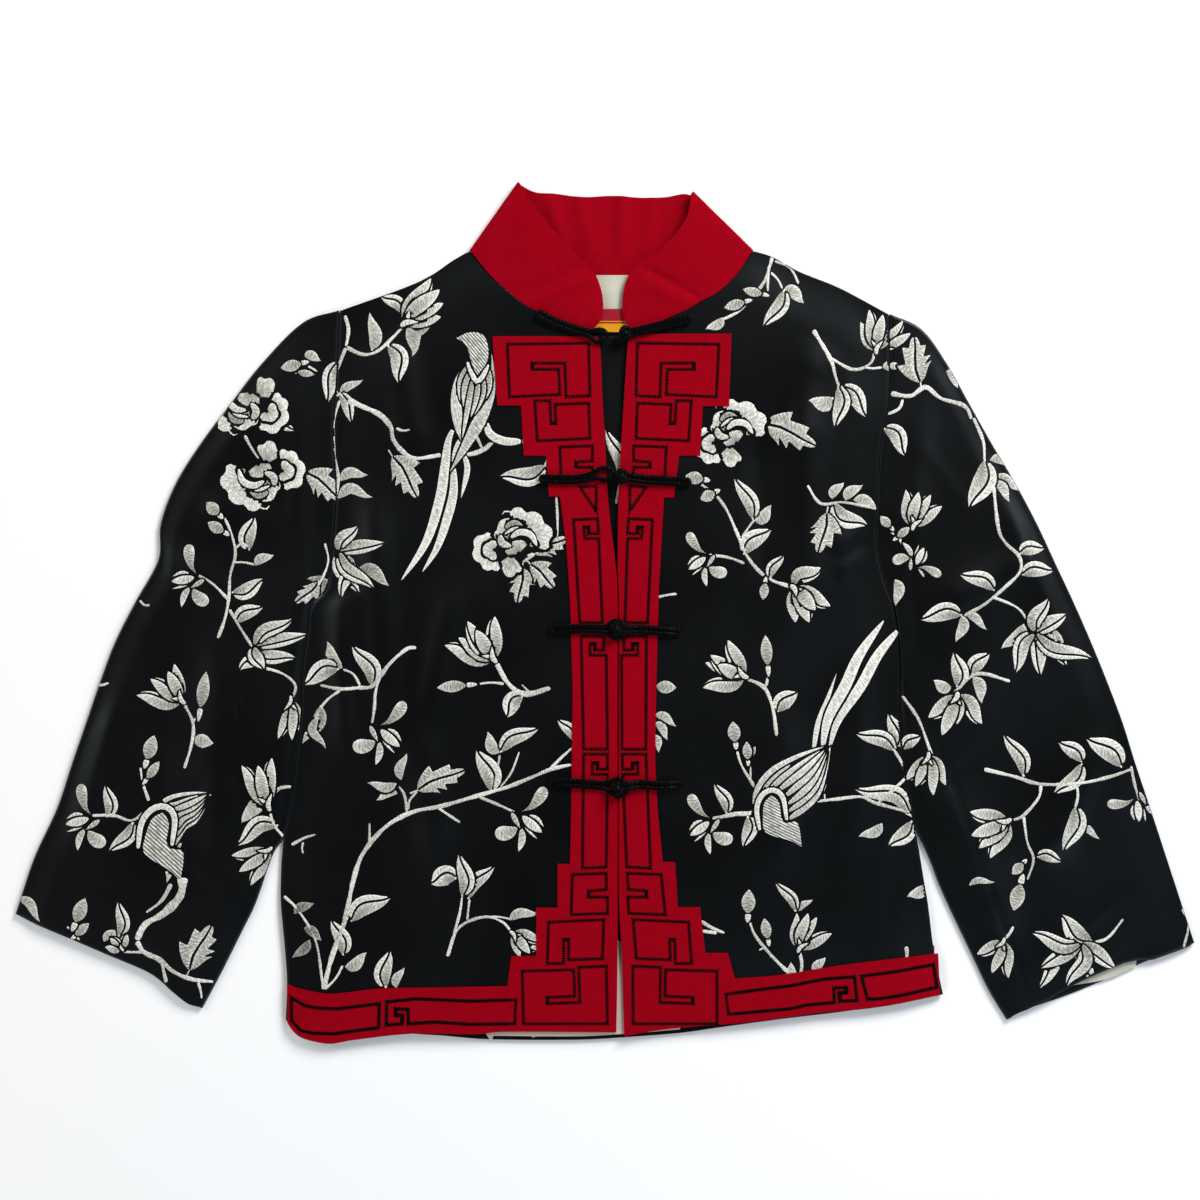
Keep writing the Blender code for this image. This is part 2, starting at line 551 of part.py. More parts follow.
def body():
    back()
    back_hem_band()
    front(
        "front_panel_right", FRONT_EDGE_RIGHT, COLLAR_RIGHT, SHOULDER_RIGHT, SLEEVE_RIGHT, ARMHOLE_RIGHT,
        SIDE_RIGHT, HEM_RIGHT, 1.0,
    )
    front(
        "front_panel_left", FRONT_EDGE_LEFT, COLLAR_LEFT[::-1], SHOULDER_LEFT, SLEEVE_LEFT, ARMHOLE_LEFT,
        SIDE_LEFT, HEM_LEFT, -1.0,
    )
    flat_piece("underlap", "black_satin", rectangle(-24, -215, 31, 221), level(LINING_TOP), LINING_WALL)
    flat_piece("neck_lining", "cream_lining", rectangle(-32, 224, 42, 267), level(LINING_TOP), LINING_WALL)
    label_top = LINING_TOP + GAP + LINING_WALL
    flat_piece("neck_label", "label_weave", rectangle(-13, 225, 23, 243), level(label_top), LINING_WALL)
    hem_line = curve_through([p for p in HEM_BACK if -96 < p[0] < 62], 16.0)
    inside_hem = [*[(x, y + 3.0) for x, y in hem_line], (60, -262), (-94, -262)]
    flat_piece(
        "hem_lining", "cream_lining", inside_hem,
        lambda x, y: back_top(x, y) + GAP + LINING_WALL, LINING_WALL,
        np.arange(-80, 60, 20), [-310, -299, -292, -286, -280, -273, -268],
    )


def sleeves():
    sleeve("sleeve_right", SLEEVE_RIGHT, ARMHOLE_RIGHT, CUFF_RIGHT, CUFF_EVEN, -1.0)
    sleeve("sleeve_left", SLEEVE_LEFT, ARMHOLE_LEFT, CUFF_LEFT, CUFF_LEFT_SHORT, 1.0)
    lining_top = SLEEVE_WALL + GAP + LINING_WALL
    flat_piece("cuff_lining_left", "cream_lining", CUFF_LINING_LEFT, level(lining_top), LINING_WALL)


def trims():
    right_hem = [tuple(p) for p in curve_through(HEM_RIGHT, 16.0) if -77.0 < p[0] < 8.0]
    left_hem = [tuple(p) for p in curve_through(HEM_LEFT, 16.0) if 17.0 < p[0] < 103.0]
    trim("trim_right", TRIM_STEPS_RIGHT, FRONT_EDGE_RIGHT, right_hem)
    trim("trim_left", TRIM_STEPS_LEFT, FRONT_EDGE_LEFT, left_hem[::-1])
    hem_band("hem_band_right", BAND_TOP_RIGHT, HEM_RIGHT, -253.5, -78.5)
    hem_band("hem_band_left", BAND_TOP_LEFT, HEM_LEFT, 104.5, 268.0)


def frogs():
    for frog in FROGS:
        frog_loop(frog["name"], frog["loop"], frog["eye"], frog["eye_radius"], frog["drop"])
        frog_knot(frog["name"], frog["ball"], frog["end"], frog["eye"] == frog["ball"], frog["drop"])


for old in list(bpy.data.objects):
    bpy.data.objects.remove(old, do_unlink=True)
jacket = bpy.data.collections.new("tang_jacket")
bpy.context.scene.collection.children.link(jacket)
body()
sleeves()
collar()
trims()
frogs()
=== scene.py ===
"""Tang jacket laid flat: the finish of every piece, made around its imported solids.

Sizes are in millimetres and become metres where a mesh is made. X runs towards the wearer's left cuff,
Y towards the collar and Z up from the table. Right and left are the wearer's.
"""

import math

import bpy
import numpy as np
from numpy.linalg import norm
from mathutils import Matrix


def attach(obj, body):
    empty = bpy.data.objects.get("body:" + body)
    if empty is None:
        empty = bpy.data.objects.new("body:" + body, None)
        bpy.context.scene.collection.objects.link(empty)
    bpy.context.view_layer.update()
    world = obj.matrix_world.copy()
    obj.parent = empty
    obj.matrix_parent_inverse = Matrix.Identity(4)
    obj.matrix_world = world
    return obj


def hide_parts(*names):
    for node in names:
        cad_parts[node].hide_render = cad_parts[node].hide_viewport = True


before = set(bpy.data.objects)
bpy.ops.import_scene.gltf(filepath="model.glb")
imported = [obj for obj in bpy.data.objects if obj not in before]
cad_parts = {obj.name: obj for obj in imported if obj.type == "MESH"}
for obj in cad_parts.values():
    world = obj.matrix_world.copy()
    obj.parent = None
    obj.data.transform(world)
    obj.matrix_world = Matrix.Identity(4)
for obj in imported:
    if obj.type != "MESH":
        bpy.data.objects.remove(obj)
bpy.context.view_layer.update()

MM = 0.001

# ---------------- table, camera and light
# A plain pale table under soft light from large panels, the strongest towards the wearer's left
# shoulder, and a camera straight above that takes in the whole spread of the sleeves.
TABLE_WIDTH = 14.0
TABLE_LEVEL = -0.0005
TABLE_GLOSS = {"Roughness": 0.9, "Specular IOR Level": 0.1}
WHITE = (1.0, 1.0, 1.0, 1.0)
ROOM_LIGHT = 0.05
CAMERA_HEIGHT = 2.4
VIEW_WIDTH = 0.96
VIEW_CENTRE = (-0.004, 0.010)
SENSOR = 36.0
# Panels, each facing the middle of the jacket. Columns: x, y, z, size, power, colour.
LIGHTS = [
    (1.2, 1.55, 1.4, 1.1, 65.0, (1.0, 1.0, 1.0)), (-1.8, 1.0, 1.4, 1.6, 19.0, (1.0, 1.0, 0.97)),
    (1.2, -1.4, 1.3, 1.3, 18.0, (0.78, 0.88, 1.0)), (-1.5, -1.6, 1.3, 1.6, 17.0, (1.0, 1.0, 1.0)),
]


def table_top():
    """A level square, its corners half a width to each side, a hair below the cloth."""
    corners = np.array([(-1, -1, 0), (1, -1, 0), (1, 1, 0), (-1, 1, 0)]) * TABLE_WIDTH / 2.0
    mesh = bpy.data.meshes.new("table_top")
    mesh.from_pydata((corners + (0.0, 0.0, TABLE_LEVEL)).tolist(), [], [(0, 1, 2, 3)])
    surface = bpy.data.objects.new("table_top", mesh)
    bpy.context.collection.objects.link(surface)
    paint = bpy.data.materials.new("pale_table")
    paint.use_nodes = True
    shader = paint.node_tree.nodes["Principled BSDF"]
    for socket, value in {"Base Color": WHITE, **TABLE_GLOSS}.items():
        shader.inputs[socket].default_value = value
    mesh.materials.append(paint)


def studio():
    """Dim white surroundings, square panels turned towards the origin by the angles of the line to it, and a
    camera that looks straight down, its lens = sensor x height / width seen."""
    world = bpy.data.worlds.new("soft_room")
    world.use_nodes = True
    world.node_tree.nodes["Background"].inputs["Color"].default_value = WHITE
    world.node_tree.nodes["Background"].inputs["Strength"].default_value = ROOM_LIGHT
    bpy.context.scene.world = world
    for number, (x, y, z, size, power, colour) in enumerate(LIGHTS):
        panel = bpy.data.lights.new(f"panel_{number}", "AREA")
        panel.size = size
        panel.energy = power
        panel.color = colour
        lamp = bpy.data.objects.new(f"panel_{number}", panel)
        lamp.location = (x, y, z)
        length = math.sqrt(x * x + y * y + z * z)
        lamp.rotation_euler = (math.acos(z / length), 0.0, math.atan2(y, x) + math.pi / 2.0)
        bpy.context.collection.objects.link(lamp)
    camera = bpy.data.cameras.new("above")
    camera.sensor_width = SENSOR
    camera.lens = SENSOR * CAMERA_HEIGHT / VIEW_WIDTH
    eye = bpy.data.objects.new("above", camera)
    eye.location = (*VIEW_CENTRE, CAMERA_HEIGHT)
    bpy.context.collection.objects.link(eye)
    bpy.context.scene.camera = eye
    bpy.context.scene.view_settings.view_transform = "Standard"


table_top()
studio()

# ---------------- back panel
# One piece of embroidered black satin from shoulder to hem, sewn to the fronts at shoulders and sides and to
# the sleeves at the armholes. It lies outer face down and climbs over its own hem band.
GAP = 0.3  # air between two layers
BACK_WALL = 1.0
BACK_TOP = 1.5
BACK_ROWS, BACK_COLUMNS = 140, 116
BAND_STEP = 1.3  # how far a layer climbs over the hem band
BAND_REACH, BAND_CLIMB = 50.0, 26.0  # from the hem up: the raised part, then the slope
CROWDING = 0.8  # how strongly a grid's lines crowd towards its edges
CURVE_STEPS = 24  # from one point of a smooth line to the next
FOLD_FADE = 0.3  # share of a fold's length over which each end fades
EDGE_ROUND, EDGE_ANGLE = 0.36, 60.0  # of a turned edge: radius in wall thicknesses, least angle
# The satin's black, then a lighter black that is painted sheen, mixed in by patches.
BLACK = (0.0003, 0.0006, 0.0006)
BLACK_PAINTED_SHEEN = (0.0009, 0.0013, 0.0017)

SHOULDER_RIGHT = [(-108, 289), (-122, 281), (-138, 270), (-159, 260), (-212, 241)]
SHOULDER_LEFT = [(118, 289), (134, 284), (156, 272), (188, 259), (227, 238)]
ARMHOLE_RIGHT = [(-212, 241), (-214, 197), (-217, 144), (-215, 92), (-218, 50), (-222, 20)]
ARMHOLE_LEFT = [(227, 238), (227, 172), (221, 138), (218, 95), (217, 57), (222, 30), (228, 13)]
SIDE_RIGHT = [(-258, -192), (-259, -210), (-259, -233), (-256, -265), (-254, -294), (-255, -325)]
SIDE_LEFT = [(251, -190), (255, -215), (258, -233), (262, -265), (266, -286), (270, -305)]
HEM_BACK = [
    (-255, -325), (-243, -336), (-218, -341), (-180, -336), (-132, -338), (-94, -341), (-25, -341.5),
    (15, -339.5), (60, -336), (92, -331.5), (140, -325), (204, -317), (270, -305),
]
NECK_BACK = [
    (-108, 289), (-86, 279.5), (-62, 273.5), (-34, 270.5), (5, 269), (42, 270.5), (72, 274), (96, 280),
    (118, 289),
]
# A sleeve, section by section from the armhole to the cuff: its two folds in plan.
# Columns: outer_x, outer_y, inner_x, inner_y.
SLEEVE_RIGHT = [
    (-212, 241, -222, 20), (-241, 231, -235, 4), (-273, 199, -238, -16), (-298, 167, -242, -50),
    (-322, 135, -243, -82), (-342, 103, -247, -118), (-354, 71, -250, -146), (-356, 42, -256, -177),
    (-375, 7, -264, -190), (-391, -25, -270, -205), (-403, -57, -275, -220), (-414, -89, -281, -236),
    (-425, -121, -288, -250), (-437, -157, -297, -268), (-455, -196, -307, -288), (-470, -241, -322, -316),
]
SLEEVE_LEFT = [
    (227, 238, 228, 13), (252, 226, 232, 0), (272, 199, 236, -30), (290, 167, 236, -60),
    (308, 135, 236, -90), (327, 103, 239, -122), (344, 71, 243, -145), (359, 39, 247, -169),
    (374, 7, 254, -185), (388, -25, 261, -201), (401, -57, 267, -217), (413, -89, 275, -235),
    (423, -121, 284, -254), (436, -160, 295, -277), (453, -212, 307, -302), (470, -264, 321, -325),
]
BODY_ROWS = 8  # sections of a sleeve whose inner fold lies along the body's side


def smooth(t):
    """0 up to t = 0, then an even S to 1 at t = 1."""
    t = np.clip(t, 0.0, 1.0)
    return t * t * (3.0 - 2.0 * t)


def even(count):
    """Equal steps from 0 to 1."""
    return np.linspace(0.0, 1.0, count)


def crowded(count):
    """Shares from 0 to 1 that crowd towards both ends: t less a sine wave."""
    return even(count) - CROWDING * np.sin(2.0 * np.pi * even(count)) / (2.0 * np.pi)


def along(line, shares):
    """Points at these shares of a polyline's length."""
    line = np.asarray(line, float)
    length = np.concatenate([[0.0], np.cumsum(norm(np.diff(line, axis=0), axis=1))])
    columns = [np.interp(shares * length[-1], length, line[:, axis]) for axis in range(line.shape[1])]
    return np.stack(columns, axis=-1)


def unit(vectors):
    """Vectors divided by their lengths."""
    return vectors / norm(vectors, axis=-1, keepdims=True)


def curve(points, shares=even(200)):
    """Smooth line through the points (Catmull-Rom), read at these shares of its length."""
    known = np.array(points, float)
    ends = np.vstack([2 * known[0] - known[1], known, 2 * known[-1] - known[-2]])
    a, b, c, d = (ends[k : len(ends) - 3 + k, None] for k in range(4))
    t = np.linspace(0.0, 1.0, CURVE_STEPS, endpoint=False)[None, :, None]
    fine = b + 0.5 * t * (c - a + t * (2 * a - 5 * b + 4 * c - d + t * (3 * (b - c) + d - a)))
    return along(np.vstack([fine.reshape(-1, known.shape[1]), known[-1:]]), shares)


def level_of(line, x):
    """The y of an outline at x, where x runs one way along it."""
    known = curve(line)
    order = np.argsort(known[:, 0])
    return np.interp(x, known[order, 0], known[order, 1])


def body_side(sleeve, armhole, side):
    """A body panel's edge from shoulder to hem: armhole, the sleeve's inner fold, then the side seam."""
    inner = [(row[2], row[3]) for row in sleeve[1:BODY_ROWS]]
    return curve([*armhole, *inner, *side], even(400))


BODY_RIGHT = body_side(SLEEVE_RIGHT, ARMHOLE_RIGHT, SIDE_RIGHT)
BODY_LEFT = body_side(SLEEVE_LEFT, ARMHOLE_LEFT, SIDE_LEFT)


def patch(left, right, bottom, top, rows, columns):
    """Surface between four edges (Coons): the blend of left and right, plus the blend of bottom and top, less
    the blend of the corners. Left and right run upwards, bottom and top from left to right."""
    left, right = along(left, rows), along(right, rows)
    bottom, top = along(bottom, columns), along(top, columns)
    v, u = rows[:, None, None], columns[None, :, None]
    across = (1 - u) * left[:, None] + u * right[:, None]
    upwards = (1 - v) * bottom[None] + v * top[None]
    corners = (1 - v) * ((1 - u) * bottom[0] + u * bottom[-1]) + v * ((1 - u) * top[0] + u * top[-1])
    return across + upwards - corners


def creases(table, x, y):
    """Height of all soft folds at (x, y): each is a bell across its line and fades towards its ends. Columns:
    start_x, start_y, end_x, end_y, half width, height, which is negative for a trough."""
    height = np.zeros_like(x)
    for x0, y0, x1, y1, half_width, rise in table:
        length = math.hypot(x1 - x0, y1 - y0)
        along_x, along_y = (x1 - x0) / length, (y1 - y0) / length
        run = (x - x0) * along_x + (y - y0) * along_y
        across = (y - y0) * along_x - (x - x0) * along_y
        fade = smooth(run / (FOLD_FADE * length)) * smooth((length - run) / (FOLD_FADE * length))
        height += rise * np.exp(-((across / half_width) ** 2)) * fade
    return height


def grid_faces(rows, columns, tube=False):
    """Quads of a grid of points, counted row by row. A tube's last column joins its first."""
    row, column = np.arange(rows - 1)[:, None], np.arange(columns if tube else columns - 1)[None]
    here, there = row * columns + column, row * columns + (column + 1) % columns
    return np.stack([here, there, there + columns, here + columns], axis=-1).reshape(-1, 4)


def mesh_of(name, points, faces, uv, material, marks=None):
    """A mesh from arrays: points and uv in millimetres, one uv a point, and named values a point."""
    mesh = bpy.data.meshes.new(name)
    mesh.vertices.add(len(points))
    mesh.vertices.foreach_set("co", (points * MM).astype(np.float32).ravel())
    mesh.loops.add(faces.size)
    mesh.loops.foreach_set("vertex_index", faces.astype(np.int32).ravel())
    mesh.polygons.add(len(faces))
    mesh.polygons.foreach_set("loop_start", np.arange(len(faces), dtype=np.int32) * faces.shape[1])
    mesh.update(calc_edges=True)
    layer = mesh.uv_layers.new(name="thread")
    layer.data.foreach_set("uv", (uv[faces.ravel()] * MM).astype(np.float32).ravel())
    for mark, values in (marks or {}).items():
        mesh.attributes.new(mark, "FLOAT", "POINT").data.foreach_set("value", values.astype(np.float32))
    mesh.polygons.foreach_set("use_smooth", np.ones(len(faces), bool))
    mesh.materials.append(material)
    mesh.validate()
    piece = bpy.data.objects.new(name, mesh)
    bpy.context.collection.objects.link(piece)
    return piece


def cloth(name, points, material, wall, side=-1.0, faces=None):
    """A cut piece of cloth from a grid of points. Solidify gives it its wall, all of it below the grid if
    side is -1, and Bevel rounds its turned edges. Faces are given if they aren't the whole grid."""
    faces = grid_faces(*points.shape[:2]) if faces is None else faces
    points = points.reshape(-1, 3)
    used, faces = np.unique(faces, return_inverse=True)
    faces = faces.reshape(-1, 4)
    corners = points[used][faces[len(faces) // 2]]
    across, upwards = corners[1] - corners[0], corners[3] - corners[0]
    if across[0] * upwards[1] < across[1] * upwards[0]:
        faces = faces[:, ::-1]
    piece = mesh_of(name, points[used], faces, points[used, :2], material)
    solid = piece.modifiers.new("wall", "SOLIDIFY")
    solid.thickness = wall * MM
    solid.offset = side
    edge = piece.modifiers.new("turned_edge", "BEVEL")
    edge.width = EDGE_ROUND * wall * MM
    edge.segments = 2
    edge.limit_method = "ANGLE"
    edge.angle_limit = math.radians(EDGE_ANGLE)
    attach(piece, "root")
    return piece


class Finish:
    """A Principled material with its nodes, joined up step by step."""

    def __init__(self, name, colour, roughness, specular):
        """Starts the material with one Principled shader of this colour, roughness and specular level."""
        self.material = bpy.data.materials.new(name)
        self.material.use_nodes = True
        self.tree = self.material.node_tree
        self.shader = self.tree.nodes["Principled BSDF"]
        base = {"Base Color": (*colour, 1.0), "Roughness": roughness, "Specular IOR Level": specular}
        self.set(self.shader, base)

    def set(self, node, inputs):
        """Sets a node's sockets, by name or number: a socket is linked, anything else is its value."""
        for key, value in inputs.items():
            if isinstance(value, bpy.types.NodeSocket):
                self.tree.links.new(value, node.inputs[key])
            else:
                node.inputs[key].default_value = value

    def node(self, kind, inputs=None, **settings):
        """A new node with its settings and its sockets set."""
        made = self.tree.nodes.new(kind)
        for key, value in settings.items():
            setattr(made, key, value)
        self.set(made, inputs or {})
        return made

    def thread(self, across=1.0, along=1.0):
        """The piece's own thread coordinates, in metres, times a number across and along."""
        place = self.node("ShaderNodeUVMap", uv_map="thread").outputs[0]
        scale = (across, along, 1.0)
        return self.node("ShaderNodeMapping", {"Vector": place, "Scale": scale}).outputs[0]

    def noise(self, vector, scale=1.0, detail=2.0, roughness=0.5):
        """Soft cloudy noise from 0 to 1, this many clouds to a unit."""
        inputs = {"Vector": vector, "Scale": scale, "Detail": detail, "Roughness": roughness}
        return self.node("ShaderNodeTexNoise", inputs).outputs["Fac"]

    def bands(self, vector, scale, direction="X", distortion=0.0):
        """A sine wave from 0 to 1 across parallel bands, bent by noise if distorted."""
        inputs = {"Vector": vector, "Scale": scale, "Distortion": distortion}
        return self.node("ShaderNodeTexWave", inputs, bands_direction=direction).outputs["Fac"]

    def maths(self, operation, a, b=0.0):
        """One sum of two values or sockets."""
        return self.node("ShaderNodeMath", {0: a, 1: b}, operation=operation).outputs[0]

    def between(self, share, low, high, start=0.0, end=1.0):
        """Colour from low to high as share goes from start to end."""
        ramp = self.node("ShaderNodeValToRGB", {"Fac": share})
        ramp.color_ramp.elements[0].position = start
        ramp.color_ramp.elements[1].position = end
        ramp.color_ramp.elements[0].color = (*low, 1.0)
        ramp.color_ramp.elements[1].color = (*high, 1.0)
        return ramp.outputs["Color"]

    def range_of(self, share, low, high, start, end):
        """Number from low to high as share goes from start to end."""
        inputs = {"Value": share, "From Min": start, "From Max": end, "To Min": low, "To Max": high}
        return self.node("ShaderNodeMapRange", inputs).outputs[0]

    def bump(self, height, depth, strength, under=None):
        """Relief of this depth in millimetres, on top of the relief under it if there is one."""
        inputs = {"Height": height, "Distance": depth * MM, "Strength": strength}
        if under is not None:
            inputs["Normal"] = under
        return self.node("ShaderNodeBump", inputs).outputs[0]


def black_satin():
    """Satin: long floats close together along the warp, slanting ribs, and a soft sheen that drifts in its
    roughness, and lighter patches of painted sheen that drift in its colour.
    """
    satin = Finish("black_satin", BLACK, 0.4, 0.33)
    place = satin.thread()
    floats = satin.noise(satin.thread(3200.0, 420.0), 1.0, 1.0)
    ribs = satin.bands(satin.thread(1.0, 0.5), 520.0, "DIAGONAL", 0.4)
    drift = satin.noise(place, 9.0, 3.0)
    mottle = satin.noise(place, 240.0)
    # Painted sheen: a slow drift and a fine mottle lighten the black in patches, as sheen on folds would.
    tone = satin.maths("ADD", satin.maths("MULTIPLY", drift, 0.8), satin.maths("MULTIPLY", mottle, 0.2))
    satin.set(satin.shader, {
        "Base Color": satin.between(tone, BLACK, BLACK_PAINTED_SHEEN, 0.35, 0.7),
        "Roughness": satin.range_of(drift, 0.32, 0.4, 0.3, 0.7),
        "Normal": satin.bump(ribs, 0.03, 0.15, satin.bump(floats, 0.05, 0.2)),
        "Sheen Weight": 0.008,
        "Sheen Roughness": 0.4,
        "Sheen Tint": (0.75, 0.8, 0.9, 1.0),
        "Specular Tint": (0.84, 0.92, 1.0, 1.0),
    })
    return satin.material


SATIN = black_satin()


def back_rise(x, y):
    """How far the back climbs: nothing up the back, one smooth S up to the band's thickness over the hem."""
    return BAND_STEP * (1.0 - smooth((y - level_of(HEM_BACK, x) - BAND_REACH) / BAND_CLIMB))


def with_height(plan, height):
    """Places in plan and their heights, or one height for all, as points."""
    return np.dstack([plan, np.broadcast_to(height, plan.shape[:2])])


BACK_FOLDS = [(-180, 120, -60, -160, 14, 0.25), (160, 60, 60, -220, 16, 0.25), (150, 210, 120, 60, 12, 0.2)]


def back_panel():
    """A patch from side to side and from hem to shoulders, its top = BACK_TOP + climb + folds."""
    shoulders = np.vstack([curve(SHOULDER_RIGHT[::-1]), curve(NECK_BACK), curve(SHOULDER_LEFT)])
    rows, columns = crowded(BACK_ROWS), crowded(BACK_COLUMNS)
    plan = patch(BODY_RIGHT[::-1], BODY_LEFT[::-1], curve(HEM_BACK), shoulders, rows, columns)
    x, y = plan[..., 0], plan[..., 1]
    height = BACK_TOP + back_rise(x, y) + creases(BACK_FOLDS, x, y)
    return cloth("back_satin", with_height(plan, height), SATIN, BACK_WALL)


def laid(piece, node, flat, area, *below):
    """Hides the solid that the piece stands for. The piece, its flat size, the area, given if the flat piece
    isn't a rectangle, and the pieces below are not used."""
    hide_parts(node)


back = back_panel()
laid(back, "back_panel", (0.53, 0.63), 0.285, "back_hem_twill")

# ---------------- back hem band
# A crimson twill band along the back's hem, on the outer face of the satin. Its lower edge is folded under at
# the hem and its upper edge is sewn down, and it lies flat on the table.
BAND_DEPTH = 40.0
BACK_BAND_ENDS = (-253.0, 264.0)
BACK_BAND_TOP, BACK_BAND_WALL = 1.0, 0.9
BACK_BAND_ROWS, BACK_BAND_COLUMNS = 14, 130
CRIMSON = (0.325, 0.0004, 0.0085)
CRIMSON_DEEP = (0.235, 0.001, 0.0055)


def red_twill():
    """Twill: fine slanting ribs, a dry soft face and slight dye mottle."""
    twill = Finish("red_twill", CRIMSON, 0.8, 0.012)
    place = twill.thread()
    ribs = twill.bands(place, 900.0, "DIAGONAL", 0.6)
    weave = twill.noise(twill.thread(1500.0, 1500.0))
    mottle = twill.noise(place, 130.0, 4.0, 0.65)
    twill.set(twill.shader, {
        "Base Color": twill.between(mottle, CRIMSON_DEEP, CRIMSON, 0.1, 0.8),
        "Normal": twill.bump(ribs, 0.05, 0.4, twill.bump(weave, 0.08, 0.5)),
        "Sheen Weight": 0.02,
        "Sheen Roughness": 0.5,
        "Sheen Tint": (1.0, 0.35, 0.35, 1.0),
    })
    return twill.material


TWILL = red_twill()


def strip(low, high, rows, columns):
    """Ruled strip: straight from each point of the lower line to its fellow on the upper line."""
    low, high = along(low, columns)[None], along(high, columns)[None]
    return low + (high - low) * rows[:, None, None]


def stretch_of(line, ends):
    """The part of a smooth line whose x is between two ends."""
    line = curve(line, even(400))
    return line[(line[:, 0] > ends[0]) & (line[:, 0] < ends[1])]


def back_hem_band():
    """A strip from the hem to a line one band's depth above it, level."""
    hem = stretch_of(HEM_BACK, BACK_BAND_ENDS)
    plan = strip(hem, hem + (0.0, BAND_DEPTH), crowded(BACK_BAND_ROWS), even(BACK_BAND_COLUMNS))
    return cloth("back_hem_twill", with_height(plan, BACK_BAND_TOP), TWILL, BACK_BAND_WALL)


back_band = back_hem_band()
laid(back_band, "back_hem_band", (0.52, 0.04), None, "table_top")

# ---------------- cream lining and neck label
# Cream satin lining shows inside the neck, behind the gap above the hem and in the open left cuff. A plain
# woven label, red above and gold below, is sewn across the neck. Each piece rests on the layer below it.
LINING_WALL = 0.9
LINING_TOP = BACK_TOP + GAP + 1.0
# CREAM is set darker than the lining's own colour, for the shade inside the neck: part of it is painted
# shade.
CREAM = (0.56, 0.55, 0.455)
CREAM_SHADE = (0.46, 0.445, 0.355)
CREAM_ROSE = (0.72, 0.50, 0.46)
LABEL_RED = (0.34, 0.012, 0.025)
LABEL_GOLD = (0.78, 0.34, 0.012)
NECK_LINING = (-32.0, 224.0, 42.0, 269.6)
LABEL = (-13.0, 224.0, 23.0, 242.5)
LABEL_FIELD = 230.8  # top of the gold field
LABEL_LINE, LABEL_LINE_HALF = 232.45, 0.4  # middle and half width of the gold line above it
HEM_LINING_X = (-94.0, 60.0)
HEM_LINING_HIGH = -262.0
HEM_TURN = 3.0  # how far the lining stops short of the hem
CUFF_LINING_TOP = 2.5
CUFF_LINING_LOW = [(341, -309), (358, -302), (374, -298), (401, -293), (424, -283)]
CUFF_LINING_HIGH = [(346, -295), (362, -284), (383, -280), (412, -270), (426, -270)]
NECK_FOLDS = [(-18, 226, -14, 268, 3, 0.25), (6, 226, 9, 268, 4, 0.22), (30, 226, 27, 268, 3, 0.25)]
HEM_FOLDS = [(-6, -334, 0, -262, 3, 0.22), (12, -334, 8, -262, 2.4, 0.2)]


def cream_satin(name, light, shade):
    """Lining satin: floats along the warp and a slow drift between two creams."""
    cream = Finish(name, light, 0.5, 0.4)
    mottle = cream.noise(cream.thread(), 60.0, 3.0)
    floats = cream.noise(cream.thread(2600.0, 380.0), 1.0, 1.0)
    cream.set(cream.shader, {
        "Base Color": cream.between(mottle, shade, light, 0.3, 0.65),
        "Normal": cream.bump(floats, 0.06, 0.5),
        "Sheen Weight": 0.1,
    })
    return cream.material


def label_weave():
    """Woven label: red ground, a gold line and a gold field below it, with ribs from side to side."""
    label = Finish("label_weave", LABEL_RED, 0.62, 0.08)
    level = label.node("ShaderNodeSeparateXYZ", {0: label.thread()}).outputs["Y"]
    field = label.maths("LESS_THAN", level, LABEL_FIELD * MM)
    from_line = label.maths("ABSOLUTE", label.maths("SUBTRACT", level, LABEL_LINE * MM))
    line = label.maths("LESS_THAN", from_line, LABEL_LINE_HALF * MM)
    ribs = label.bands(label.thread(), 700.0, "Y")
    mottle = label.noise(label.thread(900.0, 250.0))
    gold = label.maths("MAXIMUM", field, line)
    share = label.maths("MULTIPLY", gold, label.range_of(mottle, 0.9, 1.0, 0.3, 0.6))
    label.set(label.shader, {
        "Base Color": label.between(share, LABEL_RED, LABEL_GOLD),
        "Normal": label.bump(ribs, 0.1, 0.5),
    })
    return label.material


LINING = cream_satin("cream_lining", CREAM, CREAM_SHADE)
ROSE_LINING = cream_satin("rose_cream_lining", CREAM_ROSE, CREAM)


def rectangle(x0, y0, x1, y1, rows, columns):
    """A strip between the level lines at y0 and y1."""
    return strip([(x0, y0), (x1, y0)], [(x0, y1), (x1, y1)], rows, columns)


def lining(name, plan, height, folds=(), material=LINING):
    """A flat piece inside the jacket, its top = height + folds."""
    height = height + creases(folds, plan[..., 0], plan[..., 1])
    return cloth(name, with_height(plan, height), material, LINING_WALL)


def hem_lining_piece():
    """A strip from the hem's line up to a level line, its top following the back's climb over the band."""
    hem = curve([point for point in HEM_BACK if -96 < point[0] < 62]) + (0.0, HEM_TURN)
    high = [(x, HEM_LINING_HIGH) for x in HEM_LINING_X]
    plan = strip(hem, high, crowded(50), even(90))
    height = LINING_TOP + back_rise(plan[..., 0], plan[..., 1])
    return lining("hem_lining_cream", plan, height, HEM_FOLDS, ROSE_LINING)


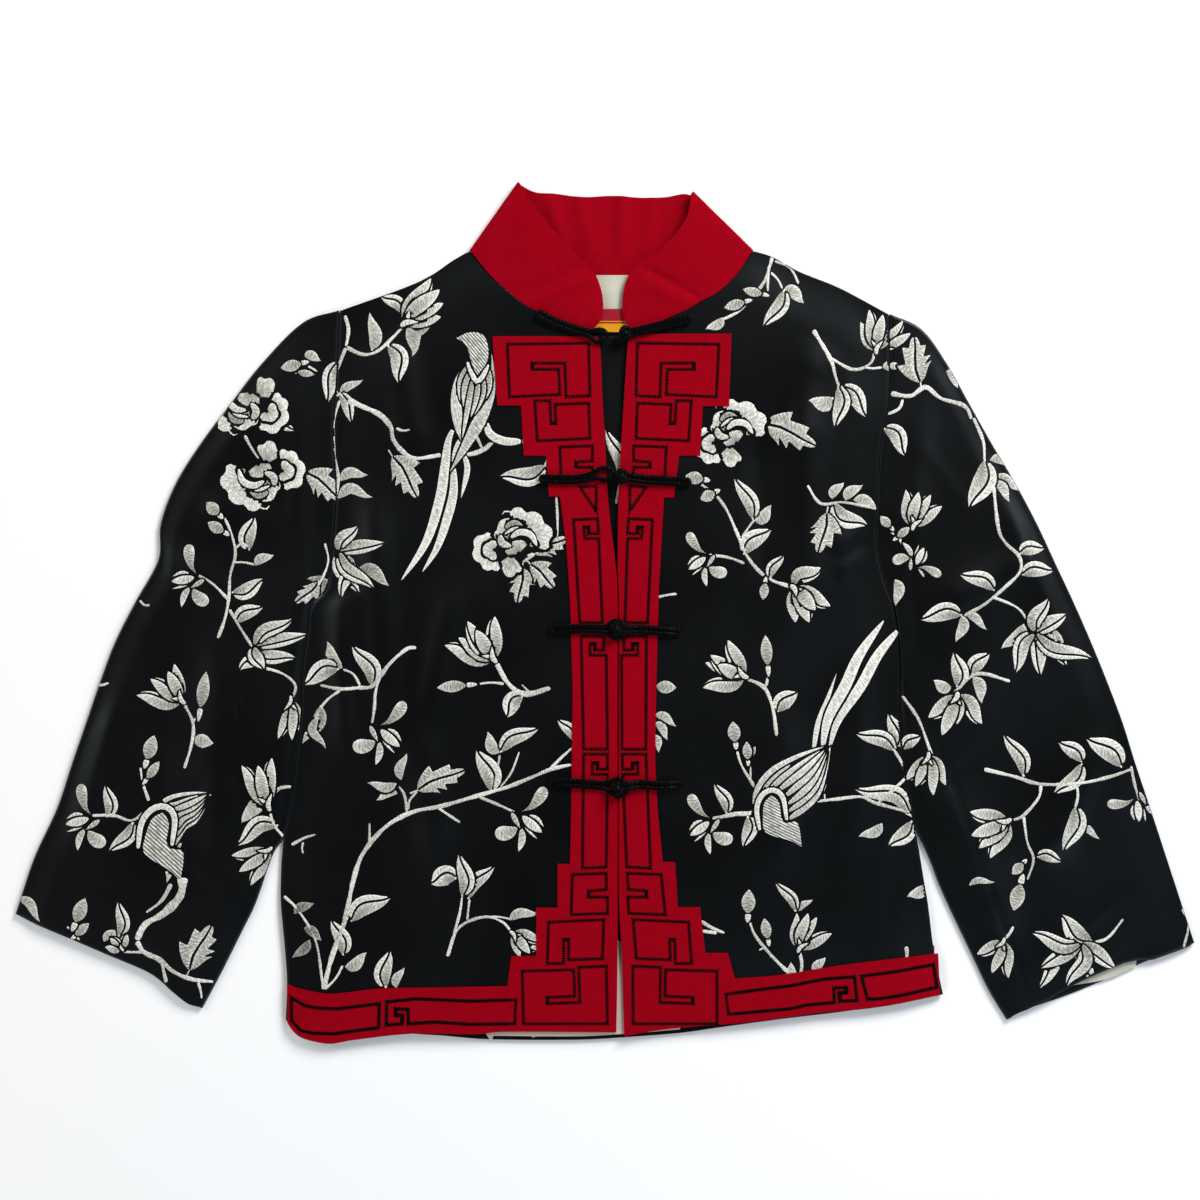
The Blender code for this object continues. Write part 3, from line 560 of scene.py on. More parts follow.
neck_plan = rectangle(*NECK_LINING, crowded(30), crowded(50))
label_plan = rectangle(*LABEL, crowded(14), crowded(26))
cuff_plan = strip(curve(CUFF_LINING_LOW), curve(CUFF_LINING_HIGH), crowded(12), even(50))
neck_lining = lining("neck_lining_cream", neck_plan, LINING_TOP, NECK_FOLDS)
label = lining("plain_label", label_plan, LINING_TOP + GAP + 1.0, material=label_weave())
hem_lining = hem_lining_piece()
cuff_lining = lining("cuff_lining_cream", cuff_plan, CUFF_LINING_TOP)
laid(neck_lining, "neck_lining", (0.074, 0.0435), 0.00318, "back_satin")
laid(label, "neck_label", (0.036, 0.0185), 0.00066, "neck_lining_cream")
laid(hem_lining, "hem_lining", (0.156, 0.08), 0.0116, "back_satin")
laid(cuff_lining, "cuff_lining_left", (0.086, 0.04), 0.0013, "sleeve_left_satin")

# ---------------- underlap
# A strip of black satin behind the centre opening, so that nothing light shows between the fronts. It is sewn
# under the wearer's left front and lies flat on the back.
UNDERLAP = (-24.0, -215.0, 31.0, 221.0)
UNDERLAP_WALL = 0.9

underlap_plan = rectangle(*UNDERLAP, even(120), crowded(24))
underlap_points = with_height(underlap_plan, LINING_TOP)
underlap = cloth("underlap_satin", underlap_points, SATIN, UNDERLAP_WALL)
laid(underlap, "underlap", (0.055, 0.436), None, "back_satin")

# ---------------- fronts
# Two panels of embroidered black satin, level under the stepped trims, softly folded beside them and
# brought down onto the back at side, armhole and shoulder, where they are sewn.
FRONT_WALL = 0.9
FRONT_ROWS, FRONT_COLUMNS = 200, 96
EDGE_TOP = 3.1  # upper side along the side, armhole and shoulder seams
CENTRE_TOP = LINING_TOP + BAND_STEP + GAP + 1.3  # upper side under the trims
CENTRE_X = 5.0  # the middle of the opening
# Half width of the level part under the trims, its slope, and how much narrower it is at the waist.
CENTRE_HALF, CENTRE_FADE, WAIST_INSET = 100.0, 60.0, 44.0
FRONT_PUFF, FRONT_EDGE_FALL, SHOULDER_FALL = 1.9, 34.0, 44.0  # height off the seams, and how far it takes
NECK_HALF, NECK_LEVEL, THROAT = 108.0, 289.0, 200.0  # half width and level of the neck, and its lower end
HEM_CLIMB_TOP, HEM_CLIMB = 120.0, 50.0  # height over the hem of the climb onto the band, and its run
WAIST_TOP, WAIST_FOOT, WAIST_FADE = 170.0, -190.0, 60.0
RIPPLE_HALF, RIPPLE_SIZE = 0.5, 17.0  # faint ripples between the folds
SEAM_ROLL, SEAM_ROLL_WIDTH = 0.45, 1.5  # how the cloth rolls down into a seam
FRONT_EDGE_RIGHT = [
    (9, -335), (10, -266), (10, -70), (10, 10), (8, 42), (3, 84), (0, 138), (-2, 170), (-4, 213), (-9, 225),
]
FRONT_EDGE_LEFT = [
    (16, -338), (13, -266), (11, -220), (11, -70), (11, 10), (10, 42), (11, 100), (15, 170), (18, 214),
    (20, 226),
]
HEM_RIGHT = [
    (-255, -325), (-250, -333), (-243, -339), (-231, -342.5), (-218, -344), (-200, -341), (-154, -336),
    (-103, -336.5), (-78, -334.5), (9, -335),
]
HEM_LEFT = [(16, -338), (38, -334), (63, -331), (114, -327), (166, -320), (217, -315), (270, -305)]
# The collar's seam at the front, from the centre edge to the shoulder.
NECK_RIGHT = [
    (-9, 225), (-16, 227), (-24, 229), (-36, 232.5), (-48, 237.5), (-64, 245.5), (-78, 256.5), (-93, 270.5),
    (-108, 289),
]
NECK_LEFT = [
    (20, 226), (27, 227), (35, 229), (45, 232.5), (58, 238), (74, 246.5), (90, 255.5), (104, 268.5),
    (118, 289),
]
# Large folds and hollows, then the finer ones between them.
FRONT_FOLDS = [
    (-188, 120, -172, -120, 15, 3.6), (-170, 230, -150, 110, 16, 3.2), (-160, -60, -120, -230, 17, 3.6),
    (215, 75, 178, 48, 8, 1.8), (214, 50, 182, 28, 8, 1.6), (205, -20, 196, -210, 15, 2.2),
    (170, 225, 150, 120, 16, 2.8), (150, -70, 130, -220, 17, 3.2), (-118, 30, -146, -100, 12, 3.0),
    (160, 190, 162, -10, 15, 3.0), (122, 160, 128, 10, 10, -1.8), (-66, 96, -58, -90, 11, 2.2),
    (-84, 70, -74, -100, 9, -2.0), (-216, 60, -206, -150, 12, 3.0), (90, 60, 84, -60, 14, 1.6),
]
FRONT_CREASES = [
    (-228, -30, -196, -190, 5, -0.5), (-214, 150, -206, 40, 4, -0.45), (-120, 200, -104, 90, 7, -0.4),
    (-140, -190, -84, -262, 6, 0.4), (-236, -200, -168, -262, 7, -0.5), (-90, 10, -70, -120, 6, 0.35),
    (214, 86, 190, 58, 2.6, -0.7), (216, 62, 176, 38, 2.8, -0.7), (212, 38, 186, 20, 2.6, -0.6),
    (222, -20, 210, -120, 5, -0.5), (238, -150, 224, -270, 6, -0.5), (120, 210, 112, 120, 7, -0.4),
    (86, -20, 74, -150, 6, 0.35), (100, -170, 150, -262, 7, -0.4), (180, 214, 208, 150, 6, 0.4),
]


def side_reach(x, y):
    """How far (x, y) lies inside the nearer side or armhole."""
    right_x = np.interp(-y, -BODY_RIGHT[:, 1], BODY_RIGHT[:, 0])
    left_x = np.interp(-y, -BODY_LEFT[:, 1], BODY_LEFT[:, 0])
    return np.minimum(x - right_x, left_x - x)


def ripple(x, y, size):
    """Faint unevenness of laid cloth, from -1 to 1: three slow waves at slants to each other."""
    a = np.sin((0.83 * x + 0.55 * y) / size + 1.3 * np.sin(y / (2.3 * size)))
    b = np.sin((0.37 * x - 0.93 * y) / (0.83 * size) + 0.9 * np.sin(x / (1.9 * size)))
    c = np.sin((0.99 * x - 0.14 * y) / (1.31 * size) + 0.7)
    return (a + b + c) / 3.0


def soft_cloth(large, fine, x, y):
    """Height of large folds, fine creases and faint ripples together."""
    return creases(large, x, y) + creases(fine, x, y) + RIPPLE_HALF * ripple(x, y, RIPPLE_SIZE)


def seam_roll(distance):
    """How far the cloth rolls down near a seam: a bell of the distance from it."""
    return SEAM_ROLL * np.exp(-((distance / SEAM_ROLL_WIDTH) ** 2))


def front_top(x, y):
    """Upper side of the fronts: level under the trims, softly folded beside them, down on the back at the
    edges. It is the soft height, and goes over to the level one by a smooth share."""
    hem = np.where(x < CENTRE_X, level_of(HEM_RIGHT, x), level_of(HEM_LEFT, x))
    hem_rise = BAND_STEP * smooth((HEM_CLIMB_TOP - (y - hem)) / HEM_CLIMB)
    shoulder = np.where(x < CENTRE_X, level_of(SHOULDER_RIGHT, x), level_of(SHOULDER_LEFT, x))
    from_shoulder = np.where(np.abs(x - CENTRE_X) > NECK_HALF, shoulder, NECK_LEVEL) - y
    inside = smooth(side_reach(x, y) / FRONT_EDGE_FALL) * smooth(from_shoulder / SHOULDER_FALL)
    soft = EDGE_TOP + hem_rise + (FRONT_PUFF + soft_cloth(FRONT_FOLDS, FRONT_CREASES, x, y)) * inside
    waist = smooth((WAIST_TOP - y) / WAIST_FADE) * smooth((y - WAIST_FOOT) / WAIST_FADE)
    half = CENTRE_HALF - WAIST_INSET * waist
    central = smooth((half + CENTRE_FADE - np.abs(x - CENTRE_X)) / CENTRE_FADE)
    central = np.where(y < THROAT, central, central * inside)
    return soft + (CENTRE_TOP - soft) * central


def front(name, centre, side, hem, shoulder, neck):
    """A patch from the centre edge to the side, and from the hem to neckline and shoulder. The edge that is
    sewn at the armhole and side rolls down a little into its seam."""
    rows, columns = crowded(FRONT_ROWS), crowded(FRONT_COLUMNS)
    plan = patch(curve(centre), side[::-1], hem, np.vstack([curve(neck), curve(shoulder)]), rows, columns)
    x, y = plan[..., 0], plan[..., 1]
    height = front_top(x, y) - seam_roll(side_reach(x, y))
    return cloth(name, with_height(plan, height), SATIN, FRONT_WALL)


front_right = front(
    "front_right_satin", FRONT_EDGE_RIGHT, BODY_RIGHT, curve(HEM_RIGHT)[::-1], SHOULDER_RIGHT, NECK_RIGHT,
)
front_left = front("front_left_satin", FRONT_EDGE_LEFT, BODY_LEFT, curve(HEM_LEFT), SHOULDER_LEFT, NECK_LEFT)
laid(front_right, "front_panel_right", (0.28, 0.64), 0.144, "back_satin", "hem_lining_cream")
laid(front_left, "front_panel_left", (0.27, 0.63), 0.131, "back_satin", "hem_lining_cream")

# ---------------- sleeves
# Set-in sleeves of the same satin, each one cut in a single piece, sewn along the under side and pressed
# flat. The left cuff's upper layer is pulled back, so that its lining and hem allowance show.
SLEEVE_WALL = 0.7
SLEEVE_ROWS, SLEEVE_COLUMNS, FOLD_COLUMNS = 170, 70, 7
SLEEVE_LENGTH = 530.0
SLEEVE_PUFF, SLEEVE_EDGE_FALL = 1.7, 24.0
FOLD_RADIUS, FOLD_Z = 1.3, 1.8  # of the two pressed folds
SEAM = 0.4  # how far the armhole stands off the body panels
ARMHOLE_FADE = 0.12  # share of the length over which the puff starts
PULLED_FROM = -24  # section from which the cuff's upper layer is pulled back, counted from the cuff
CUFF_RIGHT = [
    (-470, -241), (-450, -251), (-402, -272), (-363, -289), (-344, -304), (-332, -313), (-322, -316),
]
CUFF_LEFT = [(470, -264), (463, -268), (430, -280), (394, -296), (364, -308), (332, -319), (321, -325)]
# How far the upper layer of a cuff falls short of the lower one. Columns: share of the width, shortfall.
CUFF_RIGHT_SHORT = [(0.0, 0), (0.5, 1.5), (1.0, 0)]
CUFF_LEFT_SHORT = [
    (0.0, 0), (0.22, 0), (0.26, 3), (0.35, 6.5), (0.5, 7.5), (0.6, 7), (0.66, 6), (0.72, 4.5), (0.78, 2.5),
    (0.9, 0), (1.0, 0),
]
# Large folds and hollows, then the finer ones. The two long narrow hollows show the seam underneath.
SLEEVE_FOLDS = [
    (-350, 55, -265, -20, 14, 2.8), (-330, 90, -250, 60, 15, 2.2), (-306, 10, -312, -230, 17, 3.2),
    (-235, 190, -245, 40, 13, 2.0), (250, 190, 240, 20, 13, 2.4), (350, 50, 262, 0, 14, 3.0),
    (270, -130, 330, -270, 14, 2.8), (400, -90, 345, -210, 16, 2.8), (-392, -60, -430, -200, 15, 2.2),
    (320, 110, 380, -60, 16, 2.4), (-345, -10, -362, -220, 12, -1.2),
    (250, -60, 350, -340, 2.0, -1.0), (-262, -20, -352, -200, 2.0, -0.9),
]
SLEEVE_CREASES = [
    (-248, -60, -300, 20, 5, -0.5), (-262, -170, -350, -70, 6, -0.5), (-300, -240, -392, -150, 6, -0.45),
    (-330, -290, -430, -210, 6, 0.4), (-236, 150, -290, 60, 6, 0.4), (-240, 90, -262, -40, 4, -0.4),
    (242, -70, 300, 20, 5, -0.5), (252, -160, 340, -70, 6, -0.5), (290, -240, 380, -150, 6, -0.45),
    (330, -290, 430, -214, 6, 0.4), (240, 150, 300, 70, 6, 0.4), (240, 90, 250, -40, 4, -0.4),
]


def sleeve_ring(count):
    """Once round a flattened sleeve: share across, push towards the outer fold and height, the last two in
    fold radii. It goes over the top, round the inner fold, back underneath and round the outer fold."""
    across, turn = crowded(count), np.radians(np.linspace(72.0, -72.0, FOLD_COLUMNS))
    upper = np.stack([across, 1.0 - 2.0 * across, np.ones(count)], axis=1)
    inner = np.stack([np.ones(FOLD_COLUMNS), np.cos(turn) - 1.0, np.sin(turn)], axis=1)
    lower = upper[::-1] * (1.0, 1.0, -1.0)
    outer = np.stack([np.zeros(FOLD_COLUMNS), 1.0 - np.cos(turn), -np.sin(turn)], axis=1)
    return np.vstack([upper, inner, lower, outer])


def sleeve(name, sections, armhole, cuff, short, side):
    """Rings from the armhole to the cuff, each between the two folds of its section. The first bows to the
    armhole's curve and the last to the cuff's. Folds stand on the upper layer alone."""
    table = curve(sections, even(SLEEVE_ROWS))
    outer, inner = table[:, None, 0:2], table[:, None, 2:4]
    share, push, height = sleeve_ring(SLEEVE_COLUMNS).T
    down = even(SLEEVE_ROWS)[:, None]
    straight = outer + (inner - outer) * share[None, :, None]
    bow_top = along(curve(armhole), share) - straight[0]
    bow_cuff = along(curve(cuff), share) - straight[-1]
    plan = straight + bow_top * (1.0 - down[..., None]) ** 3 + bow_cuff * down[..., None] ** 6
    width = norm(inner - outer, axis=2)
    plan = plan + (inner - outer) / width[..., None] * (push * FOLD_RADIUS)[None, :, None]
    upper = (height >= 0.99)[None, :]
    pulled, last = table[PULLED_FROM], table[-1]
    back_up = pulled[0:2] + pulled[2:4] - last[0:2] - last[2:4]
    shortfall = np.interp(share, *np.array(short, float).T)[None, :] * upper * down**12
    plan = plan + shortfall[:, :, None] * unit(back_up)
    plan[:, :, 0] += side * SEAM
    from_fold = np.minimum(share, 1.0 - share)[None, :] * width
    body = smooth(from_fold / SLEEVE_EDGE_FALL) * smooth(down / ARMHOLE_FADE)
    folds = soft_cloth(SLEEVE_FOLDS, SLEEVE_CREASES, plan[..., 0], plan[..., 1])
    height = FOLD_Z + FOLD_RADIUS * height[None, :] + (SLEEVE_PUFF + folds) * body * upper
    points = with_height(plan, height - seam_roll(down * SLEEVE_LENGTH) * upper)
    faces = grid_faces(*points.shape[:2], tube=True)
    return cloth(name, points, SATIN, SLEEVE_WALL, faces=faces)


sleeve_right = sleeve("sleeve_right_satin", SLEEVE_RIGHT, ARMHOLE_RIGHT, CUFF_RIGHT, CUFF_RIGHT_SHORT, -1.0)
sleeve_left = sleeve("sleeve_left_satin", SLEEVE_LEFT, ARMHOLE_LEFT, CUFF_LEFT, CUFF_LEFT_SHORT, 1.0)
laid(sleeve_right, "sleeve_right", (0.47, 0.57), 0.147, "table_top")
laid(sleeve_left, "sleeve_left", (0.47, 0.57), 0.147, "table_top")

# ---------------- stand collar
# One stiff band of doubled crimson twill. It lies on its outer face at the back of the neck and folds over
# at both sides, so that its front ends lie on top of the fronts.
COLLAR_WALL = 1.9
COLLAR_SECTIONS, COLLAR_ROWS = 260, 30
COLLAR_BELLY = 0.7
COLLAR_FRONT_Z, COLLAR_FRONT_FADE = 3.0, 2.0  # level above which the band counts as its front, by degrees
# Columns: seam_x, seam_y, seam_z, top_x, top_y, top_z, at the middle of the wall.
COLLAR_RIGHT = [
    (-9, 226, 5.6, -1.5, 236, 5.6), (-16, 227.5, 5.6, -2, 252, 5.9), (-24, 229.5, 5.6, -6, 266, 6.2),
    (-36, 233, 5.5, -12, 276, 6.7), (-48, 238, 5.3, -23, 286, 7.1), (-64, 246, 5.0, -35, 299, 7.8),
    (-78, 257, 4.7, -46, 311, 8.3), (-93, 271, 4.3, -57, 325, 8.4),
]
COLLAR_BACK = [
    (-86, 279.5, 1.0, -56, 336, 1.0), (-62, 273.5, 1.0, -38, 334.5, 1.0), (-34, 270.5, 1.0, -18, 332, 1.0),
    (5, 269, 1.0, 5, 333, 1.0), (42, 270.5, 1.0, 30, 331.5, 1.0), (72, 274, 1.0, 48, 332, 1.0),
    (96, 280, 1.0, 62, 334.5, 1.0),
]
COLLAR_LEFT = [
    (104, 269, 4.3, 66, 318, 10.2), (90, 256, 4.7, 58, 304, 9.8), (74, 247, 5.0, 46, 292, 8.8),
    (58, 238.5, 5.3, 33, 281, 7.4), (45, 233, 5.5, 23, 275, 6.5), (35, 229.5, 5.6, 17, 265, 6.2),
    (27, 227.5, 5.6, 14, 250, 5.9), (20, 226, 5.6, 14.5, 236, 5.6),
]
# Where the band turns back on itself: the fold line, then how far the two layers part at each end of it.
# Columns: seam_x, seam_y, top_x, top_y, seam_rise, top_rise.
FOLD_RIGHT = (-108, 289, -70, 343.5, 3.0, 6.6)
FOLD_LEFT = (118, 289, 71, 336, 3.0, 8.0)
# Soft folds of the band: on its front ends, then inside the back.
COLLAR_CREASES_FRONT = [
    (0, 286, -74, 246, 4.5, -2.0), (-4, 275, -70, 238, 6.5, 1.8), (16, 283, 94, 241, 3.2, -2.0),
    (22, 270, 82, 236, 6.5, 1.6), (96, 322, 110, 268, 8.0, 1.2), (-72, 322, -86, 264, 9.0, -0.9),
]
COLLAR_CREASES_BACK = [
    (14, 352, 12, 276, 5.0, 2.2), (-26, 350, -8, 280, 5.5, 1.8), (40, 350, 32, 274, 5.0, 1.4),
    (-48, 344, -28, 274, 4.5, 1.5),
]


def folded_sections(fold):
    """Sections of the collar band round one fold: half a turn about a line inside the fold's edge."""
    seam, top = np.array(fold[0:2], float), np.array(fold[2:4], float)
    run = unit(top - seam)
    outward = np.array([-run[1], run[0]]) * (-1.0 if seam[0] > 0 else 1.0)
    angle = np.radians([64.0, 32.0, 0.0, -32.0, -64.0])[:, None]
    half_seam, half_top = fold[4] / 2.0, fold[5] / 2.0
    low = seam - outward * (COLLAR_WALL / 2.0 + half_seam * (1.0 - np.cos(angle)))
    high = top - outward * (COLLAR_WALL / 2.0 + half_top * (1.0 - np.cos(angle)))
    low_z = COLLAR_WALL / 2.0 + half_seam * (1.0 + np.sin(angle))
    high_z = COLLAR_WALL / 2.0 + half_top * (1.0 + np.sin(angle))
    return np.hstack([low, low_z, high, high_z])


def stand_collar():
    """Ruled band from its seam to its top edge, a half sine wave fuller between them in front."""
    right, left = folded_sections(FOLD_RIGHT), folded_sections(FOLD_LEFT)[::-1]
    table = curve(np.vstack([COLLAR_RIGHT, right, COLLAR_BACK, left, COLLAR_LEFT]), even(COLLAR_SECTIONS))
    share = crowded(COLLAR_ROWS)[None, :, None]
    points = table[:, None, 0:3] + (table[:, None, 3:6] - table[:, None, 0:3]) * share
    x, y, z = points[..., 0], points[..., 1], points[..., 2]
    front_side = smooth((z - COLLAR_FRONT_Z) / COLLAR_FRONT_FADE)
    belly = np.sin(np.pi * share[..., 0])
    z += COLLAR_BELLY * belly * front_side
    z += creases(COLLAR_CREASES_FRONT, x, y) * front_side * belly**0.5
    z += creases(COLLAR_CREASES_BACK, x, y) * (1.0 - front_side)
    return cloth("collar_twill", points, TWILL, COLLAR_WALL, side=0.0)


collar = stand_collar()
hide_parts("collar")

# ---------------- front trims
# Crimson twill facings sewn on each side of the centre opening. They widen in square steps towards the
# neck and towards the hem.
TRIM_WALL = 0.9
TRIM_LIFT = GAP + 1.0
# Lines from the outermost step to the centre edge, each from the top down, and the levels where the steps
# turn. The first line's cloth reaches from the neck to level 0, the next line's to level 1 and so on.
TRIM_LINES_RIGHT = [
    [(-90, 221), (-86, 166), (-75, -275), (-78, -298), (-78, -334.5)],
    [(-67, 164), (-65, 126), (-55, -236), (-55, -273)],
    [(-47, 124), (-45, 93), (-38, -201), (-38, -235)],
    [(-36, 92), (-31, 53), (-28, 10), (-26, -62), (-27, -150), (-28, -200)],
]
TRIM_LEVELS_RIGHT = (220.5, 165.0, 125.0, 92.5, -200.5, -235.5, -274.0)
TRIM_LINES_LEFT = [
    [(101, 224), (99, 166), (98, -272), (104, -292), (104, -327.8)],
    [(78, 163), (76, 126), (76, -236), (80, -271)],
    [(59, 124), (55, 92), (56, -200), (58, -234)],
    [(47, 91), (45, 54), (43, 18), (41, -54), (40, -118), (42, -158), (46, -198)],
]
TRIM_LEVELS_LEFT = (222.5, 164.5, 125.0, 91.5, -199.0, -235.0, -271.5)
FIRST_LINE = [0, 1, 2, 3, 2, 1, 0]  # the outermost line whose cloth a stretch keeps, stretch by stretch
STEP_COLUMNS, CENTRE_COLUMNS, ROW_HEIGHT = 8, 16, 3.0


def trim_top(x, y):
    """Upper side of the trims: the front's, and one layer of twill."""
    return front_top(x, y) + TRIM_LIFT


def trim(name, lines, levels, edge, hem):
    """A grid between the step lines and the centre edge. Rows crowd at each level, and in the stretch
    between two levels only the columns inside that stretch's line are kept. The last rows bend to the hem."""
    stops = [*levels, hem[:, 1].mean()]
    spans = list(zip(stops, stops[1:]))
    counts = [max(10, int((high - low) / ROW_HEIGHT)) for high, low in spans]
    y = [high + (low - high) * crowded(count)[:-1] for (high, low), count in zip(spans, counts)]
    y = np.append(np.concatenate(y), stops[-1])
    stretch = np.repeat(np.arange(len(counts)), [n - 1 for n in counts])
    line_x = [np.interp(-y, -np.array(line)[:, 1], np.array(line)[:, 0]) for line in lines]
    centre = curve(edge)
    line_x.append(np.interp(y, centre[:, 1], centre[:, 0]))
    shares = [crowded(STEP_COLUMNS)[:-1]] * (len(lines) - 1) + [crowded(CENTRE_COLUMNS)]
    x = np.hstack([a[:, None] + (b - a)[:, None] * s[None] for a, b, s in zip(line_x, line_x[1:], shares)])
    group = np.repeat(np.arange(len(lines)), [len(s) for s in shares])[:-1]
    first_kept = np.array(FIRST_LINE)[stretch]
    rows = np.broadcast_to(y[:, None], x.shape)
    to_hem = smooth((levels[-1] - rows) / (levels[-1] - stops[-1]))
    order = np.argsort(hem[:, 0])
    rows = rows + (np.interp(x, hem[order, 0], hem[order, 1]) - stops[-1]) * to_hem
    kept = (group[None] >= first_kept[:, None]).ravel()
    points = np.dstack([x, rows, trim_top(x, rows)])
    return cloth(name, points, TWILL, TRIM_WALL, faces=grid_faces(*x.shape)[kept])


trim_right = trim("trim_right_twill", TRIM_LINES_RIGHT, TRIM_LEVELS_RIGHT, FRONT_EDGE_RIGHT, curve(HEM_RIGHT))
trim_left = trim("trim_left_twill", TRIM_LINES_LEFT, TRIM_LEVELS_LEFT, FRONT_EDGE_LEFT, curve(HEM_LEFT))
laid(trim_right, "trim_right", (0.1, 0.56), 0.0293, "front_right_satin")
laid(trim_left, "trim_left", (0.095, 0.56), 0.0275, "front_left_satin")

# ---------------- front hem bands
# Crimson twill bands that go on from the trims along the hem to the side seams, level with the back's own
# band. They are sewn on the fronts and tucked a hair under the trims where they meet.
BAND_TUCK = 0.1
BAND_ROWS, BAND_COLUMNS = 16, 70
BAND_TOP_RIGHT = [(-254, -296), (-244, -300), (-218, -304), (-180, -300), (-129, -299), (-77, -298)]
BAND_TOP_LEFT = [(103, -292), (140, -289), (191, -281), (266, -272)]


def hem_band(name, top, hem, ends):
    """A strip from the hem to the band's top line, its top = the trims' less the tuck."""
    plan = strip(stretch_of(hem, ends), curve(top), crowded(BAND_ROWS), crowded(BAND_COLUMNS))
    points = with_height(plan, trim_top(plan[..., 0], plan[..., 1]) - BAND_TUCK)
    return cloth(name, points, TWILL, TRIM_WALL)


band_right = hem_band("hem_band_right_twill", BAND_TOP_RIGHT, HEM_RIGHT, (-253.5, -76.9))
band_left = hem_band("hem_band_left_twill", BAND_TOP_LEFT, HEM_LEFT, (102.9, 268.0))
laid(band_right, "hem_band_right", (0.18, 0.042), 0.0066, "front_right_satin")
laid(band_left, "hem_band_left", (0.168, 0.037), 0.0058, "front_left_satin")

# ---------------- stitched frets
# A meander of turned-in rectangles worked on trims and bands in black satin stitch: short threads side by
# side across each line. The left trim has the same lines mirrored, leaning with its own centre edge.
FRET_WIDTH = 3.6
STITCH = 1.75
SHORT_RUN = 7.0  # runs under this length have no waist between stitches
# Shares across a stitch and the height at each.
FRET_ACROSS = np.array([-1.0, -0.62, 0.0, 0.62, 1.0])
FRET_DOME = np.array([-0.12, 0.24, 0.34, 0.24, -0.12])
FRET_BLACK = (0.0050, 0.0006, 0.0010)
# Corners (x, y) of each closed line on the right trim.
FRETS_RIGHT = [
    [(-78, 214), (-13, 215), (-12, 173), (-31, 172), (-32, 199), (-58, 199), (-58, 194), (-37, 194),
     (-36, 174), (-76, 172)],
    [(-56, 169), (-44, 169), (-43, 151), (-39, 151), (-40, 166), (-13, 167), (-12, 139), (-54, 137)],
    [(-36, 132), (-10, 133), (-10, 121), (-23, 120), (-23, 116), (-10, 116), (-10, 108), (-35, 108)],
    [(-20, 100), (-7, 101), (-7, 81)],
    [(-25, 74), (-6, 75), (-5, 63), (-13, 63), (-13, 68), (-17, 68), (-16, 59), (-5, 59), (-2, -8),
     (-20, -8)],
    [(-19, -19), (-1, -19), (-1, -30), (-8, -30), (-8, -25), (-12, -25), (-12, -34), (1, -34), (2, -109),
     (-17, -109)],
    [(-17, -113), (2, -113), (2, -125), (-6, -125), (-6, -120), (-10, -120), (-10, -129), (2, -129),
     (1, -203), (-18, -204)],
    [(-26, -209), (1, -208), (1, -221), (-13, -222), (-13, -227), (2, -227), (2, -240), (-27, -241)],
    [(-45, -247), (-1, -245), (-2, -276), (-29, -277), (-29, -261), (-33, -261), (-33, -280), (-46, -280)],
    [(-66, -286), (-25, -285), (-24, -306), (-46, -307), (-46, -312), (-20, -311), (-21, -283), (1, -282),
     (2, -328), (-65, -328)],
]
# Twice the place of the mirror line, level by level. Columns: y, sum of a right x and its left fellow.
MIRROR_SUM = [(-330, 24.5), (-260, 22.6), (-204, 18.4), (-60, 14.2), (0, 14.0), (75, 12.8), (216, 12.9)]
FRETS_BAND_RIGHT = [
    [(-71, -309), (-72, -328), (-108, -328.5), (-135, -326.5), (-157, -328), (-157, -316.5), (-167, -316),
     (-167, -321), (-161.5, -321.5), (-162, -328), (-174.5, -329), (-174, -310.5), (-151, -308),
     (-108, -310)],
    [(-180, -312), (-180.5, -331), (-217, -336), (-233, -335.5), (-243, -333.5), (-250, -326),
     (-250.5, -307.5), (-240, -313.5), (-229, -315.5), (-213, -316)],
]
FRETS_BAND_LEFT = [
    [(96.5, -304.5), (129, -300), (149, -297.5), (174, -292.5), (199, -290.5), (201, -309.5), (187.5, -310),
     (187, -303.5), (192.5, -303), (192.5, -299), (182.5, -299.5), (183, -311), (161, -313), (148, -316),
     (98.5, -320.5)],
    [(204.5, -290), (231, -286.5), (262, -281), (265, -299), (235, -305.5), (218, -308), (209.5, -308.5)],
]


def fret_thread():
    """Thread: fine ridges across each line."""
    floss = Finish("fret_thread", FRET_BLACK, 0.55, 0.03)
    across = floss.bands(floss.thread(), 1000.0 / STITCH / 3.2)
    floss.set(floss.shader, {"Normal": floss.bump(across, 0.15, 0.6)})
    return floss.material


